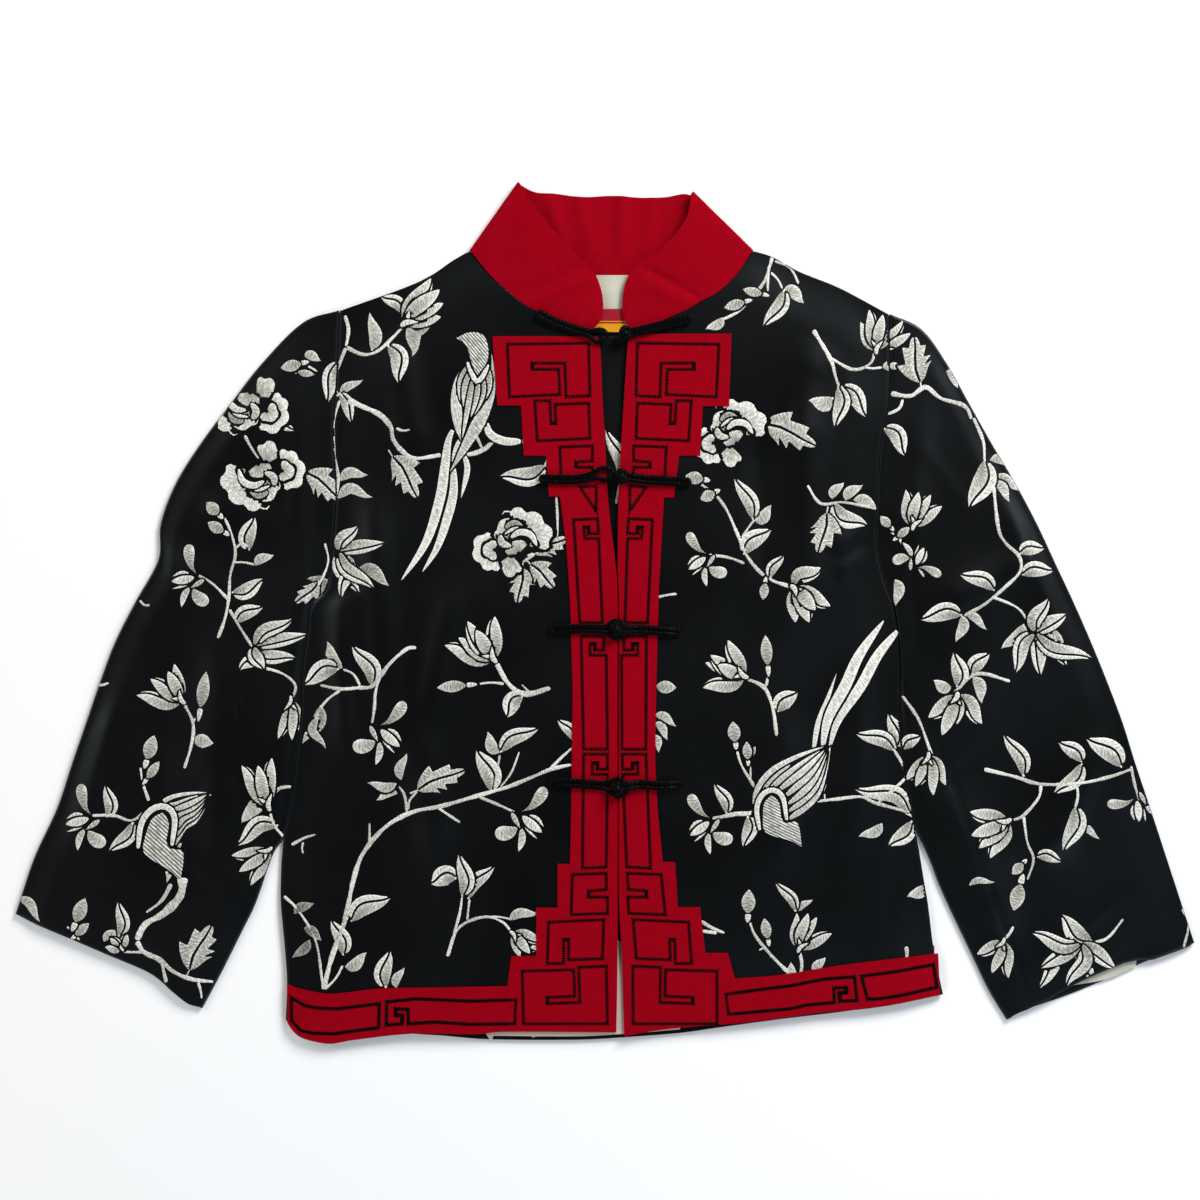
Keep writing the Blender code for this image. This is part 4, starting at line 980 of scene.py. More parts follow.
def satin_line(corners):
    """A band of stitches carried along a closed line with mitred corners. Each stitch is a hump: the band is
    wide and high in the middle of a stitch, narrow and low between two. Three rows of points to a stitch."""
    line = np.array([*corners, corners[0]], float)
    runs = norm(np.diff(line, axis=0), axis=1)
    counts = np.maximum(2, (runs / STITCH).astype(int)) * 3
    ahead = np.diff(line, axis=0) / runs[:, None]
    aside = np.stack([-ahead[:, 1], ahead[:, 0]], axis=1)
    before = np.roll(aside, 1, axis=0)
    mitre = (aside + before) / (1.0 + np.sum(aside * before, axis=1, keepdims=True))
    mitre = np.vstack([mitre, mitre[:1]])
    step = np.concatenate([np.arange(n) / n for n in counts])
    run = np.repeat(np.arange(len(counts)), counts)
    inward = np.clip(step * counts[run] / 3.0, 0.0, 1.0) * np.clip((1.0 - step) * counts[run] / 3.0, 0.0, 1.0)
    middle = line[run] + (line[run + 1] - line[run]) * step[:, None]
    side = mitre[run] + (mitre[run + 1] - mitre[run]) * step[:, None]
    side = aside[run] * inward[:, None] + side * (1.0 - inward[:, None])
    hump = np.where(runs[run] < SHORT_RUN, 1.0, np.tile([1.0, 1.0, 0.0], len(step) // 3))
    half = FRET_WIDTH / 2.0 * (0.75 + 0.25 * hump + 0.05 * np.sin(np.arange(len(step)) * 2.4))
    plan = middle[:, None] + side[:, None] * (half[:, None] * FRET_ACROSS)[..., None]
    height = trim_top(plan[..., 0], plan[..., 1]) + (FRET_DOME[None] - 0.34 * (1.0 - hump[:, None]))
    length = np.concatenate([[0.0], np.cumsum(np.repeat(runs / counts, counts))])[:-1]
    uv = np.stack(np.broadcast_arrays(length[:, None], half[:, None] * FRET_ACROSS), axis=-1)
    return with_height(plan, height), uv


def joined(name, shapes, material, tubes=False):
    """One mesh from many grids of points with their uv. The last row joins the first, and a tube's last
    column joins its first as well."""
    points, uvs, faces, start = [], [], [], 0
    for grid, uv in shapes:
        rows, columns = grid.shape[:2]
        quads = grid_faces(rows + 1, columns, tubes)
        faces.append(start + quads % (rows * columns))
        points.append(grid.reshape(-1, 3))
        uvs.append(uv.reshape(-1, 2))
        start += rows * columns
    return mesh_of(name, np.vstack(points), np.vstack(faces), np.vstack(uvs), material)


def mirrored(corners):
    """The line's fellow on the left: x = the sum for its level less x, in the opposite order."""
    levels, sums = np.array(MIRROR_SUM, float).T
    return [(float(np.interp(y, levels, sums)) - x, y) for x, y in corners][::-1]


FRET_THREAD = fret_thread()
for name, lines in (
    ("frets_trim_right", FRETS_RIGHT),
    ("frets_trim_left", [mirrored(corners) for corners in FRETS_RIGHT]),
    ("frets_band_right", FRETS_BAND_RIGHT),
    ("frets_band_left", FRETS_BAND_LEFT),
):
    frets = joined(name, [satin_line(corners[::-1]) for corners in lines], FRET_THREAD)
    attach(frets, "root")

# ---------------- frog fasteners
# Four frogs of black satin rouleau. Each arm is two cords side by side, turned round at the outer end. The
# right arm's cords part into an eye. The left arm's cords come out of a ball knot. They stay fastened.
CORD_RADIUS = 1.95
CORD_SPREAD = 1.9  # of an arm's two cords from its middle line
ARM_END = 1.15  # radius of an arm's outer end, in spreads
CORD_Z = CENTRE_TOP + GAP + 1.0 + GAP + 1.8
BALL_LIFT = 4.2  # of the ball's middle over the cords'
BALL_CORE = 4.5
KNOT_CORD = 1.25
KNOT_SWING, KNOT_WEAVE = 1.12, 0.75  # radians up and down, and millimetres in and out
CORE_ROWS, CORE_COLUMNS = 15, 24
UP = np.array([0.0, 0.0, 1.0])
CORD_BLACK = (0.0006, 0.0007, 0.0008)
# Columns: name, loop's arm, eye's middle, eye's half sizes, ball's middle, knot's arm, and how far the outer
# ends of the arms drop. An arm's points (x, y) start at its outer end.
FROGS = [
    ("neck", [(-51.5, 237.5), (-40, 231.5), (-25, 226), (-13, 222.5)], (-4.5, 220.5), (6.0, 5.0),
     (16, 222), [(66, 234), (46, 229), (30, 225), (19, 222.5)], 0.0),
    ("chest", [(-49, 106.5), (-34, 106), (-20, 106.5), (-10, 109)], (-0.5, 110.5), (7.2, 4.6),
     (13, 108.4), [(65, 104), (48, 105), (32, 106), (17, 108)], 0.0),
    ("waist", [(-41, -14), (-26, -13), (-12, -13), (-1, -13.5)], (9, -13.5), (7.0, 6.8),
     (9, -13.5), [(57, -15.5), (42, -14.5), (28, -13.5), (13, -13.5)], 1.3),
    ("lower", [(-41.5, -135.5), (-26, -136), (-12, -137), (-1, -138)], (10, -139.5), (7.2, 6.8),
     (10, -140), [(58, -137.5), (42, -138), (28, -137), (14, -139)], 1.3),
]


def black_cord():
    """Bias satin rolled into cord: bright lengthwise streaks, fine slanting wrinkles."""
    cord = Finish("black_cord", CORD_BLACK, 0.42, 0.05)
    streaks = cord.noise(cord.thread(260.0, 900.0))
    wrinkles = cord.bands(cord.thread(1.0, 0.35), 210.0, "DIAGONAL", 3.0)
    cord.set(cord.shader, {
        "Roughness": cord.range_of(streaks, 0.28, 0.46, 0.3, 0.7),
        "Normal": cord.bump(wrinkles, 0.12, 0.4, cord.bump(streaks, 0.12, 0.6)),
        "Sheen Weight": 0.03,
    })
    return cord.material


def tube(line, radius, up, sides=14):
    """Round section carried along a closed line, with `up` its upper side at each point: the line plus the
    radius times cosine aside and sine over. The radius may change along the line."""
    ahead = np.roll(line, -1, axis=0) - np.roll(line, 1, axis=0)
    aside = unit(np.cross(up, ahead))
    over = unit(np.cross(ahead, aside))
    angle = np.linspace(0.0, 2.0 * np.pi, sides, endpoint=False)
    ring = np.cos(angle)[None, :, None] * aside[:, None] + np.sin(angle)[None, :, None] * over[:, None]
    points = line[:, None] + ring * np.broadcast_to(radius, len(line))[:, None, None]
    length = np.concatenate([[0.0], np.cumsum(norm(np.diff(line, axis=0), axis=1))])
    uv = np.stack(np.broadcast_arrays(length[:, None], (angle * np.mean(radius))[None]), axis=-1)
    return points, uv


def beside(line, distance):
    """The line moved sideways in plan, to its left if the distance is above zero."""
    ahead = unit(np.gradient(line, axis=0))
    return line + distance * np.stack([-ahead[:, 1], ahead[:, 0]], axis=1)


def hairpin(arm, drop, inner_end, rise=0.0):
    """Closed line of a doubled arm: round the outer end, along one side, over the inner end's own points and
    back along the other side. It drops at the outer end and rises at the inner one."""
    line, share = curve(arm, even(60)), even(60)
    height = CORD_Z - drop * (1.0 - smooth(share * 4.5)) + rise * smooth((share - 0.72) / 0.2)
    outward = unit(line[0] - line[1])
    aside = np.array([-outward[1], outward[0]])
    turn = np.radians([60.0, 30.0, 0.0, -30.0, -60.0])[:, None]
    round_end = line[0] + CORD_SPREAD * (np.cos(turn) * outward + np.sin(turn) * aside) * ARM_END
    one, other = beside(line, CORD_SPREAD), beside(line, -CORD_SPREAD)
    plan = np.vstack([round_end, one, inner_end, other[::-1]])
    inner_height = np.full(len(inner_end), height[-1])
    level = np.concatenate([np.full(len(turn), CORD_Z - drop), height, inner_height, height[::-1]])
    return np.column_stack([plan, level])


def rouleau(route, count, waves):
    """Cord along a closed route, its bends smoothed. Its radius varies by two sine waves along it. Columns of
    a wave: share of the radius, turn from point to point, first angle."""
    line = along(np.vstack([route, route[:1]]), np.linspace(0.0, 1.0, count, endpoint=False))
    for _ in range(3):
        line = (np.roll(line, 1, axis=0) + 2.0 * line + np.roll(line, -1, axis=0)) / 4.0
    uneven = sum((share * np.sin(np.arange(count) * turn + first) for share, turn, first in waves), 1.0)
    return tube(line, CORD_RADIUS * uneven, UP)


def loop_side(arm, eye, size, drop):
    """The loop's cord: its doubled arm opens into the eye, an ellipse entered and left on the arm's side."""
    ahead = np.array(eye, float) - arm[-1]
    start = math.atan2(ahead[1], ahead[0]) + math.pi
    turn = start - np.radians(np.linspace(38.0, 322.0, 34))
    round_eye = np.array(eye, float) + np.array(size) * np.stack([np.cos(turn), np.sin(turn)], axis=1)
    return rouleau(hairpin(arm, drop, round_eye), 260, ((0.035, 0.9, 0.0), (0.03, 0.37, 0.0)))


def knot_side(arm, ball, drop):
    """The knot's cord: a doubled arm whose inner ends go into the ball, over the loop where the two cross."""
    rise = CORD_RADIUS * 2.0 if drop else 0.6
    return rouleau(hairpin(arm, drop, [ball], rise), 220, ((0.035, 0.8, 1.0), (0.03, 0.31, 0.0)))


def ball_knot(ball):
    """A woven ball: one cord goes three times round and four times up and down (a Turk's head), passing over
    and under itself on a round core. The core is a closed turned surface."""
    middle = np.array([*ball, CORD_Z + BALL_LIFT])
    t = np.linspace(0.0, 2.0 * np.pi, 300, endpoint=False)
    turn, climb = 3.0 * t, KNOT_SWING * np.sin(4.0 * t)
    radius = BALL_CORE + 0.2 + KNOT_WEAVE * np.cos(8.0 * t + 0.5)
    way = np.stack([np.sin(climb), np.cos(climb) * np.cos(turn), np.cos(climb) * np.sin(turn)], axis=1)
    woven = tube(middle + way * radius[:, None] * (0.95, 1.0, 1.0), KNOT_CORD, way, sides=10)
    up = np.linspace(-np.pi / 2, np.pi / 2, CORE_ROWS)[:, None]
    turned = np.linspace(0, 2 * np.pi, CORE_COLUMNS, endpoint=False)[None]
    x, y = np.cos(up) * np.cos(turned), np.cos(up) * np.sin(turned)
    shell = np.stack(np.broadcast_arrays(x, y, np.sin(up)), axis=-1)
    uv = np.stack(np.broadcast_arrays(turned * 4.0, up * 4.0), axis=-1)
    return woven, (middle + shell * BALL_CORE, uv)


CORD = black_cord()
for name, loop_arm, eye, eye_size, ball_place, knot_arm, drop in FROGS:
    prefix = f"frog_{name}"
    woven, (core, core_uv) = ball_knot(ball_place)
    loop = joined(f"{prefix}_loop_rouleau", [loop_side(loop_arm, eye, eye_size, drop)], CORD, tubes=True)
    arm = joined(f"{prefix}_knot_rouleau", [knot_side(knot_arm, ball_place, drop)], CORD, tubes=True)
    ball = joined(f"{prefix}_ball_weave", [woven], CORD, tubes=True)
    core_faces = grid_faces(CORE_ROWS, CORE_COLUMNS, tube=True)
    heart = mesh_of(f"{prefix}_ball_core", core.reshape(-1, 3), core_faces, core_uv.reshape(-1, 2), CORD)
    poles = heart.modifiers.new("poles", "WELD")
    poles.merge_threshold = 0.02 * MM
    for piece, node in ((loop, "loop"), (arm, "knot_cord"), (ball, "ball"), (heart, "ball")):
        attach(piece, "root")
        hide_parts(f"{prefix}_{node}")

# ---------------- embroidery: silk and its stitched shapes
# Silver-white silk in satin stitch over the black satin: stems, leaves, buds, blossoms and long-tailed birds.
# Each stitched shape is a low dome with its edge drawn into the cloth, and black cloth shows between shapes.
SILK_RISE = 0.42
SILK_EDGE = 0.2  # how deep an edge is drawn in
SILK_GAP = 1.3  # black cloth between two shapes
SILK_SLOPE, SILK_SUNK = 0.8, -0.45  # how steeply a shape goes down beside that gap, and how deep at most
SILK_HIDDEN = -0.05  # rise below which a face is left out
SILK_INSET = 0.5  # from a panel's edge
THIN_HALF = 0.7  # half width below which a shape is flatter
TOOTH, TOOTH_LEAN = 0.62, 0.45  # of a toothed leaf: depth of its hooks, and how far they lean to the tip
PRESSED = 0.4  # share of the rise left on the faces that lie underneath
# Dark, middle and light silk; the tone that picks among them is partly shaded thread, partly painted sheen.
SILK_SHADES = [(0.09, 0.088, 0.072), (0.395, 0.39, 0.335), (0.93, 0.93, 0.86)]
BETWEEN_ROWS = (0.045, 0.045, 0.038)


def silk():
    """Silk floss: fine threads side by side, streaks of light and shade along them, and dark lines between
    the rows of stitches where a shape is marked as filled."""
    floss = Finish("silver_silk", SILK_SHADES[1], 0.5, 0.3)
    # tone: shade at each point, partly the threads' own and partly painted sheen.
    tone = floss.node("ShaderNodeAttribute", attribute_name="tone").outputs["Fac"]
    filled = floss.node("ShaderNodeAttribute", attribute_name="filled").outputs["Fac"]
    threads = floss.noise(floss.thread(2300.0, 210.0), roughness=0.6)
    streaks = floss.noise(floss.thread(1000.0, 240.0), roughness=0.6)
    rows = floss.bands(floss.thread(1.0, 0.0), 150.0)
    dark_row = floss.maths("MULTIPLY", floss.range_of(rows, 1.0, 0.0, 0.08, 0.5), filled)
    shade = floss.maths("ADD", tone, floss.range_of(streaks, -0.3, 0.3, 0.32, 0.68))
    shade = floss.maths("ADD", shade, floss.range_of(threads, -0.22, 0.22, 0.3, 0.7))
    ramp = floss.node("ShaderNodeValToRGB", {"Fac": shade})
    ramp.color_ramp.elements.new(0.5)
    for stop, colour in zip(ramp.color_ramp.elements, SILK_SHADES):
        stop.color = (*colour, 1.0)
    inputs = {0: dark_row, 6: ramp.outputs["Color"], 7: (*BETWEEN_ROWS, 1.0)}
    floss.set(floss.shader, {
        "Base Color": floss.node("ShaderNodeMix", inputs, data_type="RGBA").outputs[2],
        "Normal": floss.bump(floss.maths("SUBTRACT", threads, dark_row), 0.16, 0.8),
        "Anisotropic": 0.4,
    })
    return floss.material


SILK = silk()
# Shares across a shape and the height at each, then two of the forms that swell() gives a blade.
ACROSS = np.array([-1.0, -0.84, -0.5, 0.0, 0.5, 0.84, 1.0])
DOME = np.array([0.0, 0.62, 0.93, 1.0, 0.93, 0.62, 0.0])
POINTED = (0.75, 1.2)
SPOON = (1.5, 0.5)
# What a shape keeps clear of itself: nothing, all but stems, or everything.
NOTHING, LEAVES, EVERYTHING = 0, 1, 2


def stitched(plan, uv, dome, tone, filled, cuts):
    """One stitched shape: a grid of places with thread coordinates, rise (the dome's share of the full one,
    less the drawn-in edge) and tone, its outline, and what it keeps clear of itself."""
    outline = np.vstack([plan[0], plan[1:, -1], plan[-1][::-1][1:], plan[1:-1, 0][::-1]])
    return {
        "plan": plan, "uv": uv, "rise": (SILK_RISE + SILK_EDGE) * dome - SILK_EDGE, "outline": outline,
        "tone": np.broadcast_to(tone, dome.shape), "filled": np.full(dome.shape, filled), "cuts": cuts,
    }


def normals(line):
    """Unit normals of a line in plan, to its right."""
    ahead = np.gradient(line, axis=0)
    ahead /= norm(ahead, axis=1, keepdims=True) + 1e-9
    return np.stack([ahead[:, 1], -ahead[:, 0]], axis=1)


def swell(t, shape):
    """Width along a leaf, at most 1: t to the first power of the shape, times 1 - t to the second."""
    a, b = shape
    top = a / (a + b)
    return np.clip(t, 0, 1) ** a * np.clip(1.0 - t, 0, 1) ** b / (top**a * (1.0 - top) ** b)


def blade(points, width, shape=POINTED, sides=(-0.5, 0.5), gap=(0.0, 0.0), span=(0.0, 1.0), teeth=0,
          tone=(0.5, 0.9), filled=0.0, slant=32.0, cuts=EVERYTHING, rows=19):
    """A leaf, petal or feather along a smooth line: its two edges stand off the line by the sides' shares of
    the width, times swell(t), plus the gap. Teeth are hooks of the outer edge that lean towards the tip."""
    rows = teeth * 6 + 3 if teeth else rows
    share = even(rows) if teeth else (1.0 - np.cos(np.pi * even(rows))) / 2.0
    t = span[0] + (span[1] - span[0]) * share
    line = curve(points, t)
    full = swell(t, shape) * width
    low, high = full * sides[0] + gap[0], full * sides[1] + gap[1]
    if teeth:
        high = high * (TOOTH + TOOTH * ((share * teeth) % 1.0) ** 1.5)
    middle, half = (low + high) / 2.0, (high - low) / 2.0
    half = np.where(half * (sides[1] - sides[0]) < 0.0, 0.0, half)
    offset = middle[:, None] + half[:, None] * ACROSS
    plan = line[:, None] + normals(line)[:, None] * offset[..., None]
    if teeth:
        ahead = np.gradient(line, axis=0)[:, None]
        plan += TOOTH_LEAN * ahead / (norm(ahead, axis=2)[..., None] + 1e-9) * np.abs(offset)[..., None]
    length = norm(np.diff(line, axis=0), axis=1).sum() * share
    lean = math.radians(slant) * (1.0 if sides[0] + sides[1] >= 0 else -1.0)
    p = length[:, None] * math.cos(lean) + offset * math.sin(lean)
    q = offset * math.cos(lean) - length[:, None] * math.sin(lean)
    thin = np.clip(np.abs(half) / THIN_HALF, 0.5, 1.0) * smooth(share / 0.012) * smooth((1.0 - share) / 0.012)
    # Tone from foot to tip, lighter at both edges than down the middle: shaded threads and painted sheen.
    thread_shades_and_painted_sheen = (tone[0] + (tone[1] - tone[0]) * share)[:, None] + 0.34 * (np.abs(ACROSS) ** 2 - 0.45)
    return stitched(plan, np.stack([p, q], axis=-1), thin[:, None] * DOME, thread_shades_and_painted_sheen, filled, cuts)


def between(left, right, tone=0.6, filled=0.0, slant=40.0, rows=24):
    """A shape between its left and its right edge, matched point by point: middle line plus or minus half the
    way between them. Its threads are straight and slant by this angle."""
    edges = curve(np.hstack([left, right]), (1.0 - np.cos(np.pi * even(rows))) / 2.0)
    reach = (edges[:, 2:] - edges[:, :2]) / 2.0
    plan = (edges[:, 2:] + edges[:, :2])[:, None] / 2.0 + reach[:, None] * ACROSS[:, None]
    lean = math.radians(slant)
    uv = plan @ np.array([[math.cos(lean), -math.sin(lean)], [math.sin(lean), math.cos(lean)]])
    thin = np.clip(norm(reach, axis=1) / THIN_HALF, 0.5, 1.0) * (even(rows) > 0) * (even(rows) < 1)
    # Lighter at both edges than down the middle: shaded threads and painted sheen.
    return stitched(plan, uv, thin[:, None] * DOME, tone + 0.2 * (np.abs(ACROSS) ** 2 - 0.4), filled, LEAVES)


def stem(start, end, *points):
    """A stem: a band along the line, from its starting to its ending width, a little uneven and blunt."""
    points = np.reshape(points, (-1, 2)).astype(float)
    run = norm(np.diff(points, axis=0), axis=1).sum()
    share = even(int(max(8, min(70, run / 2.2))))
    line = curve(points, share)
    knots = 1.0 + 0.16 * np.sin(share * run / 5.0 + points[0][0]) + 0.08 * np.sin(share * run / 1.9)
    blunt = np.clip(0.62 + np.minimum(share, 1.0 - share) * run / 3.0, 0.0, 1.0)
    half = 0.43 * (start + (end - start) * share) * knots * blunt
    offset = half[:, None] * ACROSS
    plan = line[:, None] + normals(line)[:, None] * offset[..., None]
    p = (share * run)[:, None] + offset * 0.5
    uv = np.stack([p, np.broadcast_to(offset, p.shape)], axis=-1)
    ends = smooth(share * run / 1.4) * smooth((1.0 - share) * run / 1.4)
    dome = (np.clip(half / 1.1, 0.0, 1.0) * ends)[:, None] * DOME
    tone = 0.7 + 0.12 * np.sin(share * run / 11.0 + points[0][1])[:, None]
    return [stitched(plan, uv, dome, tone, 0.0, NOTHING)]


def bowed(base, tip, bow):
    """Four points from base to tip: the line swings out to the left by this share of its length, and its
    last part runs out to the tip."""
    base, tip = np.array(base, float), np.array(tip, float)
    run = tip - base
    left = np.array([-run[1], run[0]])
    return [base, base + 0.34 * run + bow * left, base + 0.78 * run + 0.16 * bow * left, tip]


def stalk(line):
    """The short stalk that joins a leaf to its twig."""
    run = line[3] - line[0]
    return stem(2.0, 1.8, line[0] - 0.05 * run, line[0] + 0.1 * run)


def leaf(base_x, base_y, tip_x, tip_y, width, bow=0.14, tone=0.45):
    """A single blade, widest near its foot, with a drawn-out tip."""
    line = bowed((base_x, base_y), (tip_x, tip_y), bow)
    return [blade(line, 0.95 * width, (0.7, 1.2), tone=(tone, tone + 0.35), cuts=LEAVES), *stalk(line)]


def split_leaf(base_x, base_y, tip_x, tip_y, width, bow=0.14):
    """A broad blade and a narrow one beside it, with black cloth between them and their tips apart."""
    line = bowed((base_x, base_y), (tip_x, tip_y), bow)
    away = 1.0 if bow < 0 else -1.0
    broad = blade(line, width, (0.75, 1.2), (-0.54 * away, 0.1 * away), tone=(0.35, 0.9), cuts=LEAVES)
    narrow = blade(line, width, (0.7, 0.9), (0.1 * away, 0.46 * away), (1.3 * away, 1.1 * away), (0.05, 0.95),
                   tone=(0.75, 1.0), cuts=LEAVES)
    return [broad, narrow, *stalk(line)]


def toothed(base_x, base_y, tip_x, tip_y, width, bow=0.06):
    """A toothed leaf in two halves, filled with rows of short stitches, the midrib left black."""
    line = bowed((base_x, base_y), (tip_x, tip_y), bow)
    halves = [
        blade(line, width, (0.4, 1.0), (0.0, 0.5 * side), (0.7 * side, 0.7 * side), tone=(0.6, 0.8),
              teeth=3 + (side > 0) * (width > 18), filled=0.3, slant=40.0, cuts=LEAVES)
        for side in (-1.0, 1.0)
    ]
    foot = line[0] - 0.16 * (line[3] - line[0])
    return [*halves, *stem(1.6, 1.4, foot, line[0] + 0.05 * (line[3] - line[0]))]


def bud(base_x, base_y, tip_x, tip_y, width):
    """A closed bud, pointed at both ends, with two sepals below it."""
    base, run = np.array([base_x, base_y], float), np.array([tip_x - base_x, tip_y - base_y], float)
    aside = np.array([-run[1], run[0]]) * width / (run @ run)
    heart = [base + run * 0.04, base + run]
    sepals = [
        [base - run * 0.34, base - run * 0.05 + aside * side * 0.3, base + run * 0.26 + aside * side * 0.44]
        for side in (-1.0, 1.0)
    ]
    return [
        blade(heart, width, (0.85, 1.0), tone=(0.4, 0.75), filled=0.2, slant=8.0),
        *(blade(sepal, width * 0.42, (0.8, 1.0), tone=(0.7, 0.95), rows=9) for sepal in sepals),
    ]


def cup(base_x, base_y, width, *tips):
    """A magnolia from the side: pointed petals that spring from one foot, the first of them in front, and a
    turned edge along each petal behind it."""
    base, tips = np.array([base_x, base_y], float), np.reshape(tips, (-1, 2))
    heading = np.mean([tip - base for tip in tips], axis=0)
    left = np.array([-heading[1], heading[0]])
    petals = []
    for number, tip in enumerate(tips):
        run = tip - base
        turn = math.atan2(heading[0] * run[1] - heading[1] * run[0], float(heading @ run))
        line = bowed(base, tip, 0.05 + 0.14 * turn)
        share = 0.38 if number else 0.44
        petals.append(blade(line, width * share, (0.9, 0.85), tone=(0.3, 0.9), slant=20.0))
        if number:
            edge = 1.0 if turn > 0 else -1.0
            petals.append(blade(line, width * 0.4, (0.9, 0.9), (edge * 0.42, edge * 0.74),
                                (edge * 0.9, edge * 0.9), (0.3, 1.0), tone=(0.8, 1.0), rows=11))
    foot = base - unit(heading) * 3.0
    sepals = [
        blade([foot, base + heading * 0.08, base + heading * 0.3 + side * 0.17 * left], width * 0.17,
              (0.5, 1.0), tone=(0.7, 0.9), rows=9)
        for side in (-1.0, 1.0)
    ]
    return sepals + petals


def lily(base_x, base_y, width, *tips):
    """A lily: long petals from one foot, each a broad blade with a fine one beside it."""
    shapes = []
    for number, tip in enumerate(np.reshape(tips, (-1, 2))):
        line = bowed((base_x, base_y), tip, 0.2 * math.sin(2.4 * number + 0.7))
        shapes += [
            blade(line, width, (0.8, 1.1), (-0.54, 0.12), span=(0.04, 1.0), tone=(0.35, 0.95)),
            blade(line, width, (0.8, 0.9), (0.12, 0.44), (1.2, 0.9), (0.12, 0.96), tone=(0.75, 1.0), rows=13),
        ]
    return shapes


def placed(shapes, x, y, angle=0.0, size=1.0, mirror=1.0):
    """Shapes mirrored, scaled, turned (degrees) and moved: places times one 2 x 2 matrix, plus (x, y)."""
    cosine, sine = math.cos(math.radians(angle)), math.sin(math.radians(angle))
    matrix = size * np.array([[cosine, -sine], [sine, cosine]]) * (mirror, 1.0)
    return [
        {**shape, "plan": shape["plan"] @ matrix.T + (x, y), "outline": shape["outline"] @ matrix.T + (x, y)}
        for shape in shapes
    ]


def orchid(*place):
    """A small blossom at the end of its twig: one spoon petal, one broad petal, and narrow ones between."""
    return placed([
        blade([(-1, 1), (-8, 5), (-14, 13), (-17, 20)], 9.5, SPOON, tone=(0.3, 0.7), slant=12.0),
        blade([(1, -11), (8, -15), (17, -16)], 11.5, (0.8, 0.5), tone=(0.45, 0.8), slant=12.0),
        blade([(-2, -2), (-8, -7), (-17, -13)], 7.0, (0.7, 0.8), tone=(0.7, 0.9)),
        blade([(-7, -1), (-13, -3), (-18, -9)], 2.6, (0.6, 0.9), tone=(0.8, 0.9), rows=9),
        blade([(6, 0), (3, -5), (-1, -11)], 4.0, tone=(0.5, 0.7), rows=11),
        blade([(-2, -11), (-3, -19), (-1, -28)], 5.6, (0.7, 0.9), tone=(0.5, 0.9)),
        blade([(-4, -9), (-9, -14), (-14, -18)], 2.0, (0.5, 0.8), tone=(0.8, 0.9), rows=9),
    ], *place)


def ruffle(middle, start, end, inner, outer, lobes, tone):
    """One ruffled petal of a peony: from the inner radius to a scalloped outer one, between two angles in
    degrees. Its threads run outwards."""
    columns = 4 * lobes + 7
    x, r = even(columns)[None], even(8)[:, None]
    rounded = (1.0 - np.abs(2.0 * x - 1.0) ** 4.5) ** 0.4
    notch = np.abs(np.cos(np.pi * lobes * x + 0.4 * np.sin(7.0 * x))) ** 4
    scallop = 1.0 - (0.17 * notch - 0.06 * np.sin(9.0 * x + lobes)) * r
    radius = inner + (outer - inner) * r * rounded * scallop
    angle = np.radians(start + (end - start) * x)
    plan = np.array(middle, float) + radius[..., None] * np.stack([np.cos(angle), np.sin(angle)], axis=-1)
    uv = np.stack(np.broadcast_arrays(angle * outer * 0.8, radius), axis=-1)
    inside = np.minimum(np.minimum(r, 1.0 - r) * 3.2, np.minimum(x, 1.0 - x) * 5.0)
    # Lighter towards the outer edge: shaded threads and painted sheen.
    return stitched(plan, uv, smooth(inside), tone + 0.45 * r, 0.0, EVERYTHING)


# Parts of a blossom of radius 1, the foremost first. Lips: points, width, tones. Ruffles: middle, start and
# end angle, inner and outer radius, lobes, tone.
PEONY_LIPS = [
    ([(-0.08, 0.12), (0.16, 0.27), (0.46, 0.2), (0.62, -0.1)], 0.19, (0.7, 0.95)),
    ([(-0.24, 0.22), (0.02, 0.36), (0.32, 0.32), (0.52, 0.12)], 0.10, (0.8, 0.95)),
    ([(-0.22, 0.38), (0.02, 0.5), (0.27, 0.38)], 0.20, (0.3, 0.5)),
    ([(-0.36, 0.2), (-0.3, -0.02), (-0.06, -0.1)], 0.2, (0.5, 0.8)),
]
PEONY_RUFFLES = [
    ((0.14, -0.3), 30, 205, 0.02, 0.42, 1, 0.25), ((-0.04, 0.1), 20, 200, 0.05, 0.6, 3, 0.34),
    ((-0.5, -0.2), 50, 305, 0.02, 0.34, 3, 0.38), ((0.06, -0.02), -24, 128, 0.3, 1.08, 5, 0.42),
    ((-0.5, -0.22), 88, 302, 0.12, 0.66, 5, 0.46), ((-0.06, -0.32), 208, 318, 0.03, 0.64, 3, 0.34),
]


def peony(x, y, radius, angle=0.0):
    """A full blossom half open: lips of the bowl, a parted heart behind them, ruffled petals round both."""
    lips = [
        blade(np.array(points) * radius, width * radius, (0.5, 0.6), tone=tone)
        for points, width, tone in PEONY_LIPS
    ]
    ruffles = [
        ruffle(np.array(middle) * radius, start, end, inner * radius, outer * radius, lobes, tone)
        for middle, start, end, inner, outer, lobes, tone in PEONY_RUFFLES
    ]
    return placed(lips + ruffles, x, y, angle)


